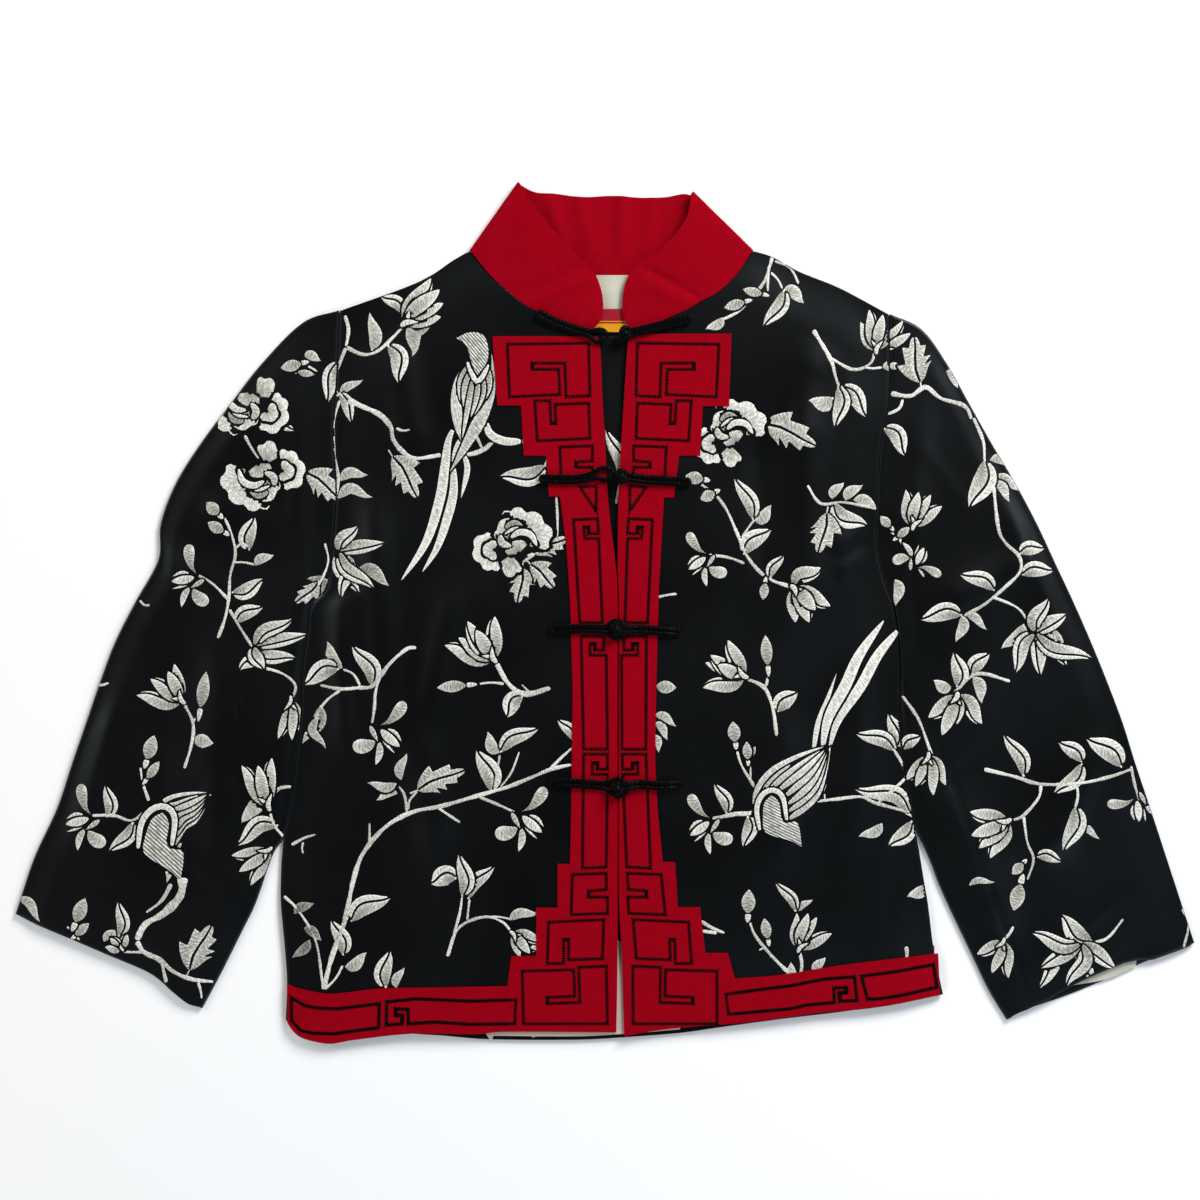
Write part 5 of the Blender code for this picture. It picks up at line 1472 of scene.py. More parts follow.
def perched_bird(*place):
    """A bird seen from behind, its neck at the origin: hatched comma of a head, split collar, narrow feathers
    over a pointed wing, a broad flank and ribbon tails."""
    feathers = [
        blade(points, width, (0.55, 0.85), tone=(0.4, 0.95), slant=8.0)
        for points, width in (
            ([(-2, 2), (-5, -15), (-11, -48)], 4.6), ([(2, -2), (0, -15), (-4, -31)], 5.2),
            ([(6, 0), (5, -13), (-1, -29)], 5.2), ([(10, 8), (10, -7), (4, -22)], 5.4),
            ([(-5, 6), (-9, -9), (-9, -27)], 5.2), ([(-7, 10), (-12.5, -3), (-13, -18)], 4.8),
        )
    ]
    tails = [
        blade(points, width, shape, span=(start, 1.0), tone=(0.75, 0.95), slant=12.0, rows=34)
        for points, width, shape, start in (
            ([(-16, -36), (-22, -50), (-25, -72), (-29, -97), (-40, -131), (-60, -162)], 8.6, (0.6, 0.75),
             0.04),
            ([(-18, -68), (-18, -91), (-23, -112), (-31, -135), (-43, -155)], 7.8, (0.5, 0.75), 0.02),
            ([(-10, -60), (-7, -73), (-12, -96)], 5.0, (0.5, 0.9), 0.0),
            ([(-13, -48), (-16, -57), (-20, -68)], 4.4, POINTED, 0.0),
        )
    ]
    return placed([
        between([(-16, 32), (-10, 28), (-6.5, 22), (-5, 15), (-2.5, 8), (1.3, 2.5)],
                [(-16, 32), (-5, 37), (5.5, 35.5), (10, 27), (9.5, 14), (1.3, 2.5)], 0.75, 1.0, 40.0),
        blade([(-7, 13), (-3, 3), (0.5, -2.5), (5, 1), (10, 11)], 4.2, (0.3, 0.3), tone=(0.85, 0.9)),
        *feathers,
        between([(-7, 13), (-16, 1), (-20, -13), (-20, -27), (-17, -40), (-12, -50)],
                [(-7, 13), (-12.5, 1), (-14, -13), (-11, -24), (-10.5, -38), (-12, -50)], 0.75, 0.2, 10.0),
        between([(12.5, 20), (12, 3), (11, -8), (6, -22), (-2, -31), (-8, -44), (-14, -58), (-21, -75)],
                [(12.5, 20), (16, 3), (15.5, -11), (12.5, -24), (7, -38), (-1, -50), (-10, -62), (-21, -75)],
                0.65, 0.1, 60.0),
        *tails,
        blade([(6, -30), (11, -44), (22, -50), (36, -50.5)], 7.2, (0.4, 0.3), tone=(0.8, 0.85)),
        *stem(2.8, 2.0, (0, -46), (3, -52), (6, -59)),
    ], *place)


def bowing_bird(reach, *place):
    """A bird with its head bent down, the crown at the origin: hatched head, an arched collar, and feathers
    that draw together at the tail. Feathers grow with the reach, and only the full reach has a tail."""
    feathers = [
        blade(np.vstack([start, np.array(rest) * reach + (4.0 * (1.0 - reach), 0.0)]),
              width * (0.3 + 0.7 * reach), (0.5, 0.75), tone=(0.6, 0.95), slant=10.0)
        for start, rest, width in (
            ((-14, -15), [(-12, 4), (0, 20), (20, 31), (42, 39)], 4.8),
            ((5, 4), [(14, 11), (28, 22), (42, 36)], 5.6),
            ((10, -1), [(19, 6.5), (31, 17.5), (43, 35)], 5.6),
            ((12.5, -7), [(23, 1), (33.5, 12.5), (44, 34)], 5.6),
            ((-2, 5), [(8, 13.5), (24, 25), (41, 36.5)], 5.6),
            ((-9, -2), [(-1, 12.5), (15, 25), (40, 37)], 5.2),
            ((13, -13), [(25, -4), (35.5, 8), (45, 34)], 5.4),
            ((13.5, -19), [(26, -9.5), (37, 4), (47, 39)], 7.0),
        )
    ]
    tails = [
        blade(points, width, shape, span=(0.05, 1.0), tone=(0.85, 0.9), slant=12.0, rows=30)
        for points, width, shape in (
            ([(40, 33), (45, 61), (59, 88), (70, 112), (90, 140)], 9.8, (0.7, 0.7)),
            ([(45, 33), (53, 60), (71, 87), (85, 112), (104, 135)], 9.2, (0.8, 0.6)),
            ([(33, 33), (37, 57), (45, 78), (52, 98)], 4.6, (0.5, 0.9)),
        )
        if reach > 0.9
    ]
    leg = [blade([(36, 17), (41, 13), (42, 3)], 6.5, (0.5, 1.1)), *stem(1.8, 1.6, (42, 7), (42.5, -4))]
    return placed([
        between([(0, 0.5), (-6.5, -6), (-7.5, -17), (-7, -28), (0, -32.5), (9, -35), (17, -37.5), (24, -41)],
                [(0, 0.5), (6, -5), (7.5, -12), (8.5, -18.5), (13, -21.5), (20, -20), (22.5, -27), (24, -41)],
                0.75, 1.0, 64.0),
        blade([(-9.5, -28), (-12, -11), (-8, 0), (0.5, 4.5), (8.5, -1), (12, -20)], 4.4, (0.25, 0.25),
              tone=(0.85, 0.9), rows=30),
        *feathers, *tails, *(leg if tails else []),
    ], *place)


def clearance(points, outline):
    """Distance from each point to an outline, below zero inside it, and the nearest place on it."""
    start, run = outline, np.roll(outline, -1, axis=0) - outline
    apart = points[:, None] - start[None]
    share = np.clip(np.sum(apart * run, axis=2) / (np.sum(run * run, axis=1) + 1e-9), 0.0, 1.0)
    away = apart - share[..., None] * run[None]
    nearest = np.argmin(np.sum(away * away, axis=2), axis=1)
    closest = points - away[np.arange(len(points)), nearest]
    level, end = points[:, None, 1], start[None, :, 1] + run[None, :, 1]
    slope = run[:, 0] / np.where(np.abs(run[:, 1]) < 1e-9, 1e-9, run[:, 1])
    to_right = points[:, None, 0] < start[None, :, 0] + (level - start[None, :, 1]) * slope[None]
    inside = np.sum(((start[None, :, 1] > level) != (end > level)) & to_right, axis=1) % 2 == 1
    return norm(points - closest, axis=1) * np.where(inside, -1.0, 1.0), closest


def drawn_apart(shapes):
    """Lowers each shape below the cloth where it comes within a gap of an earlier one that cuts it."""
    boxes = [(shape["outline"].min(axis=0) - 2.0, shape["outline"].max(axis=0) + 2.0) for shape in shapes]
    for number, shape in enumerate(shapes):
        low, high = boxes[number]
        for other, box in zip(shapes[:number], boxes):
            far_off = np.any(box[0] > high) or np.any(box[1] < low)
            if far_off or other["cuts"] == NOTHING or (other["cuts"] == LEAVES and shape["cuts"] == NOTHING):
                continue
            apart = clearance(shape["plan"].reshape(-1, 2), other["outline"])[0].reshape(shape["rise"].shape)
            limit = np.clip((apart - SILK_GAP) * SILK_SLOPE, SILK_SUNK, 1.0)
            shape["rise"] = np.minimum(shape["rise"], limit)
    return shapes


def surface_height(plan, panel, from_above):
    """Height of the panel's outer surface at each place: loose points dropped onto it, or raised to it. A
    place beside the panel gets no number."""
    start = 0.05 if from_above else -0.05
    loose = np.column_stack([plan * MM, np.full(len(plan), start)]).astype(np.float32)
    drop = bpy.data.meshes.new("drop")
    drop.vertices.add(len(plan))
    drop.vertices.foreach_set("co", loose.ravel())
    points = bpy.data.objects.new("drop", drop)
    bpy.context.collection.objects.link(points)
    fall = points.modifiers.new("fall", "SHRINKWRAP")
    fall.wrap_method = "PROJECT"
    fall.target = panel
    fall.use_project_z = True
    fall.use_positive_direction = not from_above
    fall.use_negative_direction = from_above
    landed = points.evaluated_get(bpy.context.evaluated_depsgraph_get()).data
    places = np.empty(len(plan) * 3, np.float32)
    landed.vertices.foreach_get("co", places)
    bpy.data.objects.remove(points)
    bpy.data.meshes.remove(drop)
    height = places.reshape(-1, 3)[:, 2].astype(float)
    return np.where(np.abs(height - start) < 1e-6, np.nan, height) / MM


def embroider(name, shapes, panel, edge, from_above):
    """All shapes of one panel as one mesh, brought inside its edge and laid on its surface: height = surface
    plus rise. Faces that lie under the cloth all round, or beside it, or have no size, are left out."""
    starts = np.cumsum([0] + [shape["rise"].size for shape in shapes])
    faces = np.vstack([start + grid_faces(*shape["rise"].shape) for start, shape in zip(starts, shapes)])
    plan, uv = (np.vstack([shape[key].reshape(-1, 2) for shape in shapes]) for key in ("plan", "uv"))
    rise, tone, filled = (
        np.concatenate([shape[key].ravel() for shape in shapes]) for key in ("rise", "tone", "filled")
    )
    beyond, foot = clearance(plan, edge)
    plan[beyond > -SILK_INSET] = foot[beyond > -SILK_INSET]
    height = surface_height(plan, panel, from_above) + (rise if from_above else -PRESSED * rise)
    x, y = plan[faces, 0], plan[faces, 1]
    doubled = np.sum(x * (np.roll(y, -1, 1) - np.roll(y, 1, 1)), axis=1)
    shows = np.any(rise[faces] > SILK_HIDDEN, axis=1) & ~np.any(np.isnan(height[faces]), axis=1)
    kept = (np.abs(doubled) > 0.008) & shows
    faces, turned = faces[kept], ((doubled < 0) == from_above)[kept]
    faces[turned] = faces[turned][:, ::-1]
    used, faces = np.unique(faces, return_inverse=True)
    marks = {"tone": tone[used], "filled": filled[used]}
    return mesh_of(name, np.column_stack([plan, height])[used], faces.reshape(-1, 4), uv[used], SILK, marks)


KINDS = {
    "perched birds": perched_bird, "bowing birds": bowing_bird, "magnolias": cup, "lilies": lily,
    "orchids": orchid, "peonies": peony, "buds": bud, "toothed leaves": toothed, "split leaves": split_leaf,
    "leaves": leaf, "stems": stem,
}


def sprays(table):
    """Every shape of a panel's table, the kinds that lie on top first, drawn apart where they cross."""
    return drawn_apart([shape for kind, rows in table.items() for row in rows for shape in KINDS[kind](*row)])


# ---------------- embroidery: the wearer's right front
# From the shoulder down: a magnolia bough, a long-tailed bird on its perch, a peony beside the trim, a lily
# at the armhole, and boughs that rise from hem and side seam. What is listed first lies on top.
# Columns. Perched birds and orchids: x, y, turn, size, mirror, and bowing birds have their reach before them.
# Peonies: x, y, radius, turn. Buds and leaves: foot, tip, width, swing to the left, first tone.
# Magnolias and lilies: foot, width, then each tip. Stems: first and last width, then each point.
RIGHT_FRONT = {
    "perched birds": [(-103, 187)],
    "magnolias": [
        (-161, 230, 28, -132, 258, -139, 267, -129, 247, -131, 236),
        (-88, -38, 26, -103, -14, -88, -3, -110, -7, -117, -20, -128, -26),
        (-74, -256, 18, -60, -272, -50, -262, -68, -275, -52, -270),
    ],
    "lilies": [(-213, 49, 11, -198, 69, -176, 56, -184, 20, -210, 12, -196, 16)],
    "orchids": [(-181, -91, -6, 1.1, -1.0), (-68, -160, -4, 1.1, -1.0)],
    "peonies": [(-73, 56, 30)],
    "buds": [(-110, -58, -134, -60, 10)],
    "toothed leaves": [
        (-170, 125, -150, 92, 23), (-58, 47, -30, 59, 19), (-60, 39, -41, 20, 18), (-66, 36, -70, 8, 18),
        (-150, -142, -112, -126, 20),
    ],
    "split leaves": [
        (-173, 213, -165, 183, 14, 0.2), (-212, 175, -203, 152, 9, 0.1), (-48, 117, -84, 109, 15, 0.16),
        (-66, -67, -78, -84, 14, -0.2), (-175, -299, -171, -270, 13), (-25, -102, -38, -86, 9, -0.14),
        (-213, -45, -240, -58, 15, -0.16), (-186, -58, -202, -27, 14, -0.18),
        (-91, -142, -103, -110, 16, -0.14), (-83, -111, -53, -93, 12), (-114, -226, -117, -193, 12, -0.14),
        (-119, -212, -139, -217, 16, -0.2), (-109, -228, -88, -203, 11), (-202, -246, -171, -228, 15, 0.16),
        (-209, -273, -219, -246, 12, -0.14), (-163, 240, -179, 252, 10, -0.2),
    ],
    "leaves": [
        (-186, 210, -188, 240, 12, -0.12), (-140, 229, -154, 204, 15, -0.3, 0.3), (-211, 173, -193, 186, 8),
        (-211, 106, -189, 110, 10, 0.2), (-213, 92, -185, 92, 10, 0.26),
        (-195, 36, -172, 21, 12, 0.12, 0.3), (-210, -44, -222, -23, 12), (-167, -137, -190, -136, 9),
        (-166, -144, -183, -150, 8, -0.14), (-163, -133, -158, -112, 9), (-85, -112, -94, -95, 11),
        (-76, -245, -52, -240, 9), (-207, -283, -190, -271, 11, -0.14), (-167, -299, -160, -283, 8),
        (-230, -84, -223, -109, 8, -0.25, 0.4), (-227, -75, -242, -105, 13, 0.12, 0.3),
        (-248, -240, -232, -232, 9, 0.1, 0.1), (-240, -252, -226, -262, 9, 0.1, 0.1),
        (-236, -262, -250, -276, 9, 0.1, 0.1),
    ],
    "stems": [
        (3.4, 3.2, -208, 238, -205, 226, -207, 212),
        (3.6, 2.8, -207, 212, -193, 206, -181, 209, -169, 220, -160, 230),
        (3.2, 2.6, -207, 212, -212, 199, -217, 184, -213, 172),
        (5.6, 3.6, -206, 170, -195, 165, -180, 158, -171, 148, -169, 138, -161, 128, -151, 123, -130, 126),
        (2.8, 2.2, -167, 147, -161, 145, -155, 146),
        (2.2, 3.2, -212, 170, -217, 150, -216, 125, -213, 107, -216, 88),
        (3.6, 5.0, -130, 126, -110, 126, -97, 130, -86, 137, -58, 136),
        (2.6, 2.2, -48, 117, -46, 122, -46, 128), (2.6, 2.0, -39, 93, -38, 76, -38, 60),
        (2.4, 2.4, -56, 47, -60, 44, -66, 40), (2.4, 2.6, -218, 66, -214, 56, -213, 44),
        (4.2, 5.4, -88, -38, -77, -57, -63, -65, -43, -60), (2.2, 1.6, -60, -64, -64, -60, -67, -57),
        (2.6, 2.2, -80, -57, -92, -56, -106, -58), (2.8, 3.4, -228, -58, -211, -61, -196, -60),
        (4.4, 3.2, -198, -60, -186, -59, -178, -49, -170, -39, -158, -29, -150, -28),
        (2.6, 2.4, -210, -45, -201, -49, -195, -59), (2.8, 2.8, -179, -50, -183, -63, -184, -76, -186, -89),
        (2.8, 2.4, -211, -62, -221, -69, -228, -78, -234, -92),
        (2.8, 2.2, -158, -160, -160, -146, -165, -138),
        (5.0, 3.4, -225, -302, -218, -275, -208, -247, -201, -214, -193, -192, -175, -171, -153, -159,
         -129, -154, -101, -146, -77, -139, -55, -130, -43, -125, -25, -121),
        (2.8, 2.4, -44, -125, -34, -115, -25, -107), (2.2, 1.8, -157, -158, -156, -150, -149, -142),
        (2.2, 1.8, -84, -140, -75, -128, -68, -110), (2.6, 2.4, -224, -301, -215, -292, -209, -281),
        (2.4, 2.0, -92, -243, -84, -243, -74, -245), (2.6, 2.0, -241, -183, -242, -188, -241, -193),
        (2.6, 1.8, -188, -185, -188, -176, -188, -167), (2.8, 2.2, -134, -155, -124, -162, -115, -168),
        (3.0, 2.4, -101, -147, -84, -154, -71, -160), (2.8, 2.4, -88, -142, -86, -127, -84, -113),
        (2.8, 2.2, -251, -186, -240, -180, -230, -177),
        (3.2, 2.4, -126, -275, -117, -252, -97, -243, -82, -247, -74, -256),
        (2.8, 2.2, -121, -258, -116, -240, -114, -226), (2.6, 2.2, -110, -246, -109, -236, -108, -228),
        (2.6, 2.4, -257, -226, -245, -238, -231, -262, -225, -299),
    ],
}

# ---------------- embroidery: the wearer's left front
# From the shoulder down: bud sprigs, a peony beside the trim, magnolia sprays, a bowing bird with its tail
# raised across the side, and a magnolia with its bud above the hem band.
LEFT_FRONT = {
    "bowing birds": [(1.0, 133, -146)],
    "magnolias": [
        (217, 209, 21, 222, 238, 211, 242, 236, 234, 204, 232),
        (150, 20, 26, 168, 2, 172, 36, 180, 5, 163, -8, 152, -8),
        (112, -51, 25, 90, -42, 98, -22, 84, -34, 80, -40, 78, -60),
        (155, -269, 20, 162, -240, 153, -240, 169, -243, 181, -256),
    ],
    "orchids": [(82, 46, 0, 0.9), (85, -165, 0, 1.0)],
    "peonies": [(100, 143, 29, 8)],
    "buds": [
        (112, 248, 95, 243, 9), (126, 254, 110, 258, 8), (79, 106, 64, 109, 11), (88, 96, 76, 90, 10),
        (128, 24, 126, 10, 8), (130, -43, 128, -18, 10), (104, -104, 102, -87, 11),
        (114, -118, 113, -103, 8), (115, -116, 120, -107, 5), (40, -59, 57, -60, 11),
        (114, -241, 115, -221, 12), (130, -261, 127, -244, 9),
    ],
    "toothed leaves": [(125, 151, 168, 133, 25), (177, 80, 170, 48, 22)],
    "split leaves": [
        (143, 257, 126, 229, 12, 0.12), (186, 180, 183, 148, 12), (189, 180, 208, 156, 13),
        (118, 75, 103, 107, 12, -0.12), (111, 47, 133, 66, 14), (132, 28, 143, 45, 8),
        (183, 87, 210, 70, 14, -0.2), (97, -160, 87, -137, 10, -0.14), (114, -163, 110, -187, 11),
        (244, -162, 199, -141, 13, -0.2), (231, -110, 200, -97, 12, -0.14),
        (232, -108, 226, -81, 12, -0.14), (245, -167, 226, -186, 13), (152, -238, 136, -216, 8, -0.12),
        (237, -108, 254, -97, 9), (138, -79, 154, -64, 14),
    ],
    "leaves": [
        (143, 258, 159, 247, 12), (94, 235, 80, 226, 9), (222, 196, 236, 193, 9),
        (182, 171, 162, 169, 14, 0.2), (120, 73, 133, 86, 11, -0.14), (181, 91, 191, 104, 9),
        (192, 90, 206, 102, 10), (199, 90, 219, 82, 10), (221, -169, 202, -179, 10),
        (256, -218, 241, -227, 11), (40, -82, 57, -91, 8), (40, -88, 50, -102, 8), (39, -98, 43, -112, 7),
        (155, -238, 166, -229, 6), (152, -292, 148, -279, 9), (168, -288, 176, -275, 9),
    ],
    "stems": [
        (3.2, 2.4, 134, 285, 128, 266, 118, 252, 106, 240, 92, 233),
        (2.6, 2.0, 131, 278, 130, 264, 130, 250), (2.8, 2.0, 135, 281, 148, 275, 155, 262),
        (2.4, 2.4, 142, 258, 138, 266, 132, 272), (4.6, 3.0, 166, 226, 180, 202, 184, 188, 187, 180),
        (3.2, 2.8, 180, 203, 198, 194, 212, 199, 216, 211), (2.4, 2.0, 206, 196, 214, 195, 222, 196),
        (2.4, 3.6, 64, 109, 77, 102, 88, 94, 97, 82, 106, 62, 114, 44, 129, 28, 147, 21, 157, 18),
        (2.6, 3.0, 82, 46, 98, 44, 112, 39), (2.4, 2.4, 109, 59, 114, 67, 120, 75),
        (2.4, 2.0, 126, 28, 129, 20, 127, 12), (2.8, 2.4, 161, 102, 172, 87, 190, 88, 217, 83),
        (3.0, 2.4, 41, 12, 50, 14, 58, 15), (3.6, 3.2, 111, -52, 127, -60, 134, -77, 137, -99),
        (2.4, 2.6, 130, -42, 130, -52, 128, -60), (4.4, 3.6, 85, -165, 103, -161, 118, -159, 120, -146),
        (3.0, 3.2, 159, -152, 184, -149, 204, -147, 216, -152, 244, -160),
        (3.0, 2.2, 120, -140, 109, -122, 104, -105), (2.4, 2.0, 116, -133, 116, -124, 114, -116),
        (1.8, 1.6, 171, -134, 172, -142, 172, -150), (3.2, 2.6, 218, -152, 240, -132, 238, -122, 231, -110),
        (3.0, 3.4, 76, -246, 86, -252, 96, -256), (2.4, 3.0, 58, -240, 70, -252, 90, -256),
        (3.4, 2.6, 146, -287, 134, -275, 120, -258, 114, -242), (2.4, 1.8, 134, -276, 128, -268, 122, -270),
        (3.2, 2.8, 156, -290, 157, -280, 155, -270), (3.4, 3.2, 240, -266, 241, -272, 240, -280),
    ],
}

# ---------------- embroidery: sleeves
# Peonies over the right elbow and magnolias, lilies and bud sprigs down to both cuffs, cut off by the seams
# and folded round with the sleeve.
RIGHT_SLEEVE = {
    "bowing birds": [(0.56, -353, -160, -16, 1.18)],
    "magnolias": [
        (-337, -71, 23, -349, -47, -363, -53, -344, -41, -374, -66),
        (-268, -156, 24, -277, -122, -266, -116, -290, -122, -285, -132),
        (-268, -189, 20, -292, -207, -298, -194, -283, -218),
        (-251, -69, 17, -250, -102, -261, -101, -243, -96),
        (-386, -268, 13, -399, -267, -395, -260, -381, -257),
    ],
    "lilies": [(-280, -27, 11, -250, -5, -238, -17, -272, -45, -291, -46, -247, -36)],
    "orchids": [(-325, 29, -26, 1.0), (-409, -163, -22, 1.05)],
    "peonies": [(-286, 166, 31, 140), (-274, 109, 31, 172)],
    "buds": [
        (-242, 199, -259, 195, 10), (-246, 192, -232, 190, 6), (-308, 78, -318, 88, 11),
        (-304, 64, -317, 72, 10), (-323, -77, -318, -47, 11), (-366, -118, -360, -98, 12),
        (-366, -133, -356, -119, 8), (-423, -248, -415, -228, 12), (-423, -258, -412, -248, 8),
    ],
    "toothed leaves": [(-239, 112, -211, 90, 22), (-229, 24, -247, 8, 13), (-332, -286, -314, -250, 25)],
    "split leaves": [
        (-213, 200, -221, 168, 12, -0.1), (-272, 151, -248, 145, 9), (-284, 50, -279, 76, 13),
        (-297, 16, -273, 27, 12, -0.14), (-294, -8, -273, 4, 11), (-262, -170, -293, -186, 13, -0.2),
        (-397, -163, -399, -138, 10, -0.14), (-377, -168, -396, -190, 11),
        (-388, -258, -389, -231, 10, -0.14),
    ],
    "leaves": [
        (-240, 205, -227, 201, 9), (-279, 38, -264, 46, 9), (-224, 27, -227, 9, 9, 0.14, 0.2),
        (-226, 29, -238, 27, 6, 0.14, 0.2), (-281, -149, -290, -168, 15, 0.2), (-327, -105, -312, -104, 13),
        (-468, -228, -451, -247, 9), (-339, -185, -350, -216, 12, -0.12, 0.4), (-400, -262, -386, -254, 8),
    ],
    "stems": [
        (2.4, 2.0, -253, 202, -243, 200, -229, 192), (2.8, 2.4, -288, 142, -282, 131, -276, 122),
        (2.4, 3.2, -308, 82, -300, 68, -295, 48, -299, 30, -300, 12, -303, -4, -309, -21),
        (2.2, 2.0, -296, 50, -290, 55, -284, 52), (2.2, 2.0, -297, 40, -288, 40, -279, 38),
        (2.4, 2.8, -325, 30, -313, 23, -300, 10), (2.8, 2.6, -300, 3, -290, -14, -281, -28),
        (2.2, 2.0, -224, 56, -221, 42, -225, 29, -230, 20),
        (2.8, 2.2, -276, -43, -257, -49, -247, -59, -252, -73),
        (3.2, 3.0, -337, -71, -329, -88, -330, -105, -336, -125),
        (2.4, 2.2, -329, -88, -326, -83, -324, -78), (2.6, 3.0, -266, -153, -261, -141, -250, -139),
        (2.6, 2.8, -268, -157, -264, -170, -256, -180),
        (9.5, 5.0, -337, -211, -339, -226, -352, -240, -367, -249, -374, -262),
        (4.2, 2.2, -346, -216, -354, -230, -367, -240),
        (5.4, 3.2, -374, -262, -368, -271, -356, -277, -344, -287, -329, -293, -312, -295),
        (2.6, 2.2, -325, -295, -323, -302, -322, -309), (3.0, 2.4, -368, -271, -380, -271, -393, -269),
        (2.2, 2.0, -430, -250, -424, -256, -419, -262), (3.6, 3.2, -354, -278, -352, -288, -350, -296),
        (3.0, 2.8, -410, -162, -392, -162, -378, -166, -366, -158),
        (2.8, 2.2, -364, -151, -369, -136, -371, -123), (2.6, 2.2, -372, 10, -368, 6, -363, 6),
        (2.6, 2.2, -408, -57, -402, -58, -396, -56),
    ],
}
LEFT_SLEEVE = {
    "magnolias": [
        (222, 208, 17, 244, 223, 238, 233), (246, 68, 21, 250, 96, 240, 98, 260, 94, 269, 85),
        (281, -66, 25, 269, -98, 258, -84, 281, -89, 301, -89),
        (322, -166, 25, 292, -178, 291, -159, 298, -188, 307, -196),
        (318, -262, 19, 309, -288, 297, -273, 322, -292),
        (258, -114, 20, 262, -146, 248, -139, 240, -134, 272, -138),
    ],
    "lilies": [
        (343, -16, 12, 353, 11, 368, -1, 389, -36, 369, -42, 328, -48, 348, -50),
        (380, -264, 12, 341, -256, 348, -284, 347, -300, 369, -298, 390, -294, 408, -284),
    ],
    "orchids": [(248, 36, 210, 0.8), (424, -148, 60, 0.9)],
    "buds": [
        (228, 68, 220, 77, 8), (233, 60, 243, 68, 7), (334, -200, 325, -209, 9), (332, -216, 326, -238, 13),
    ],
    "toothed leaves": [(252, 183, 247, 220, 24)],
    "split leaves": [
        (303, 121, 290, 84, 18), (223, 147, 239, 125, 13, 0.2), (331, 47, 351, 51, 11),
        (333, 30, 358, 33, 12), (310, 18, 283, 30, 12, -0.14), (284, -2, 252, -6, 14, -0.14),
        (281, -59, 278, -32, 13, -0.14), (293, -49, 307, -33, 12), (334, -130, 318, -98, 12, -0.14),
        (380, -119, 362, -104, 12, -0.14), (380, -121, 358, -144, 12), (412, -123, 384, -101, 17, -0.14),
        (375, -155, 365, -190, 15), (345, -195, 364, -199, 9), (239, -109, 252, -99, 10),
        (388, -262, 365, -241, 15),
    ],
    "leaves": [
        (273, 193, 282, 179, 9), (311, 104, 323, 88, 9), (308, 122, 330, 116, 10), (311, 108, 331, 97, 9),
        (285, -3, 280, -24, 10), (287, -2, 305, -14, 8), (334, -10, 316, -29, 13), (232, 26, 232, 5, 10),
        (294, -52, 301, -73, 11), (276, -60, 262, -54, 11), (376, -171, 395, -181, 7),
        (228, 195, 236, 197, 7), (291, -217, 311, -215, 6), (402, -293, 408, -285, 5),
        (413, -289, 426, -280, 5),
    ],
    "stems": [
        (4.6, 3.6, 228, 175, 244, 173, 256, 180, 268, 171, 287, 165, 293, 154),
        (3.0, 2.6, 238, 171, 235, 163, 225, 158), (3.4, 2.8, 294, 156, 302, 137, 303, 121),
        (3.4, 3.0, 310, 101, 314, 67, 320, 55, 330, 45, 331, 33, 320, 21, 302, 6, 287, -2),
        (2.6, 2.4, 308, 13, 330, 3, 341, -14), (2.2, 2.4, 221, 75, 227, 66, 234, 60),
        (2.6, 2.2, 232, 64, 241, 49, 248, 39, 255, 28), (3.4, 3.0, 324, -55, 297, -49, 278, -65),
        (3.0, 2.6, 237, -66, 250, -85, 258, -106, 263, -120),
        (3.6, 3.0, 302, -125, 327, -131, 348, -137, 379, -136, 403, -131, 421, -125),
        (3.2, 2.8, 348, -137, 346, -148, 334, -162, 325, -166),
        (2.6, 2.2, 334, -162, 337, -183, 342, -197, 337, -214), (2.6, 2.4, 376, -137, 377, -146, 375, -156),
        (2.8, 2.4, 420, -122, 423, -137, 428, -154), (2.6, 2.2, 461, -236, 466, -250, 462, -268),
        (2.8, 2.6, 326, -250, 323, -256, 318, -262), (3.0, 2.4, 381, -264, 392, -263, 402, -259, 414, -244),
    ],
}
# Bits that show beyond the fronts: on the underlap, the back's hem allowance and the left cuff's under side.
UNDERLAP_SPRAY = {
    "split leaves": [(12, 102, 0, 146, 13, -0.16)],
    "stems": [(2.4, 3.0, 9, 86, 10, 94, 12, 103)],
}
HEM_SPRAY = {
    "leaves": [(-94, -336, -90, -342, 5), (-58, -339, -36, -338, 5)],
    "stems": [(3.0, 3.0, -96, -334, -93, -338, -90, -343)],
}


def body_edge(centre, neck, shoulder, side, hem):
    """A front's outline: its five edges one after the other."""
    return along(np.vstack([curve(centre), curve(neck), curve(shoulder), side, hem]), even(170))


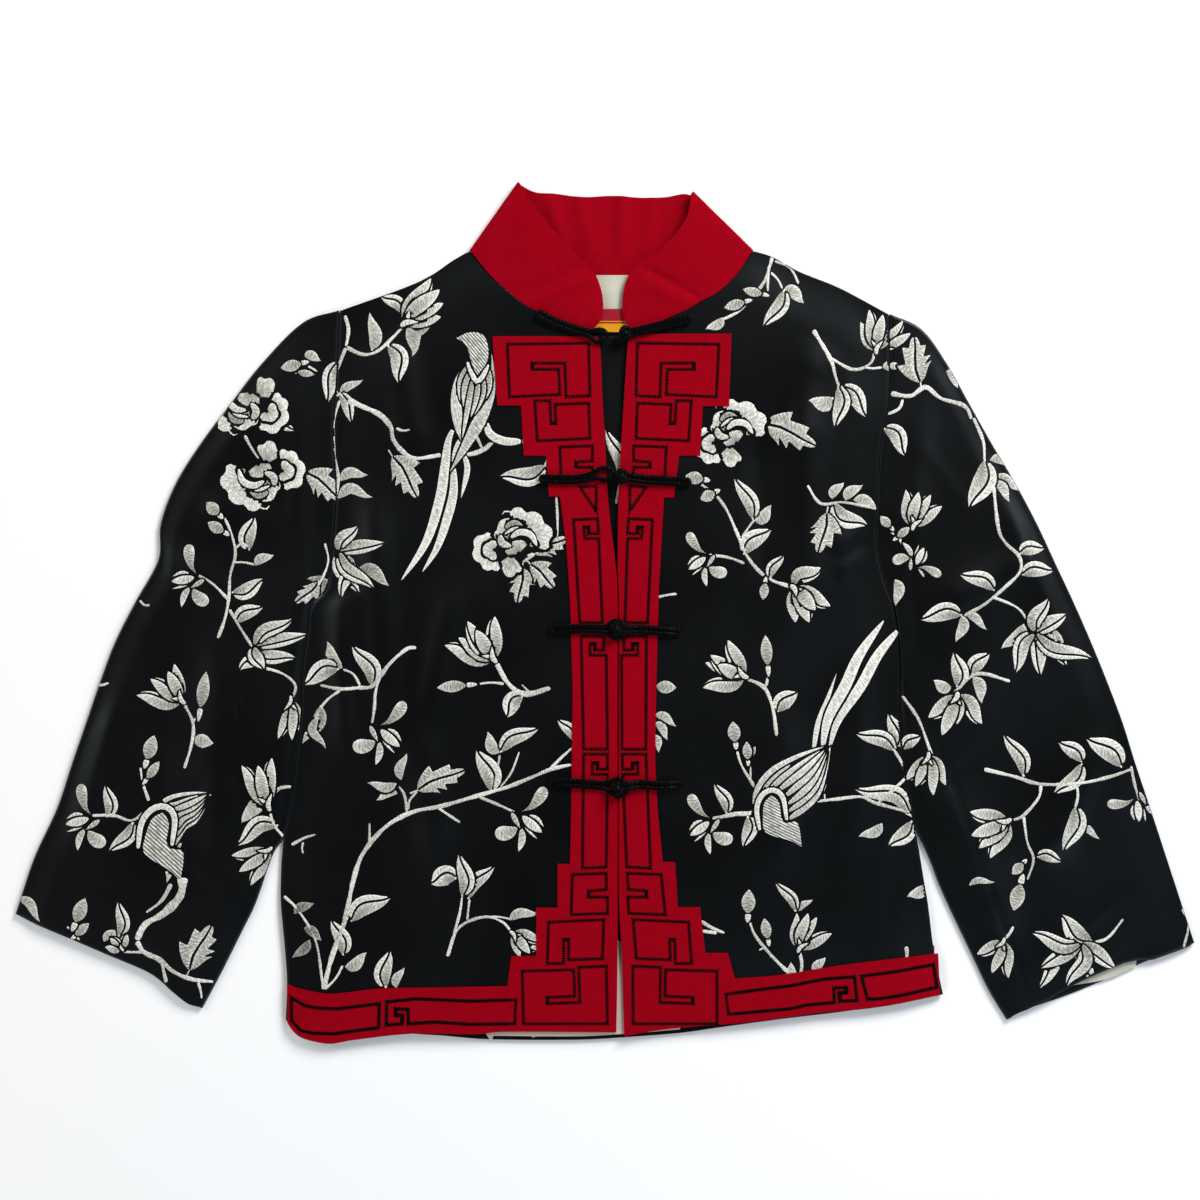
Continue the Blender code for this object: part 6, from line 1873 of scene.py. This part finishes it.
def sleeve_edge(sections, armhole, cuff, seam):
    """A sleeve's outline: armhole, inner fold, cuff and outer fold, moved off the body by the seam."""
    table = curve(sections)
    edge = np.vstack([curve(armhole), table[:, 2:4], curve(cuff)[::-1], table[::-1, 0:2]])
    return along(edge, even(170)) + (seam, 0.0)


RIGHT_EDGE = body_edge(FRONT_EDGE_RIGHT, NECK_RIGHT, SHOULDER_RIGHT, BODY_RIGHT, curve(HEM_RIGHT))
LEFT_EDGE = body_edge(FRONT_EDGE_LEFT, NECK_LEFT, SHOULDER_LEFT, BODY_LEFT, curve(HEM_LEFT)[::-1])
RIGHT_SLEEVE_EDGE = sleeve_edge(SLEEVE_RIGHT, ARMHOLE_RIGHT, CUFF_RIGHT, -SEAM)
LEFT_SLEEVE_EDGE = sleeve_edge(SLEEVE_LEFT, ARMHOLE_LEFT, CUFF_LEFT, SEAM)
UNDERLAP_EDGE = underlap_plan[[0, 0, -1, -1], [0, -1, -1, 0]]
BACK_EDGE = np.vstack([BODY_RIGHT, curve(HEM_BACK), BODY_LEFT[::-1], curve(NECK_BACK)[::-1]])
BACK_EDGE = along(BACK_EDGE, even(240))
right_front, left_front = sprays(RIGHT_FRONT), sprays(LEFT_FRONT)
right_sleeve, left_sleeve = sprays(RIGHT_SLEEVE), sprays(LEFT_SLEEVE)
for name, shapes, panel, edge, from_above in (
    ("silk_front_right", right_front, front_right, RIGHT_EDGE, True),
    ("silk_front_left", left_front, front_left, LEFT_EDGE, True),
    ("silk_sleeve_right", right_sleeve, sleeve_right, RIGHT_SLEEVE_EDGE, True),
    ("silk_sleeve_left", left_sleeve, sleeve_left, LEFT_SLEEVE_EDGE, True),
    ("silk_underlap", sprays(UNDERLAP_SPRAY), underlap, UNDERLAP_EDGE, True),
    ("silk_hem", sprays(HEM_SPRAY), back, BACK_EDGE, True),
    ("silk_back", right_front + left_front, back, BACK_EDGE, False),
    ("silk_sleeve_right_under", right_sleeve, sleeve_right, RIGHT_SLEEVE_EDGE, False),
    ("silk_sleeve_left_under", left_sleeve, sleeve_left, LEFT_SLEEVE_EDGE, False),
):
    silk_piece = embroider(name, shapes, panel, edge, from_above)
    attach(silk_piece, "root")
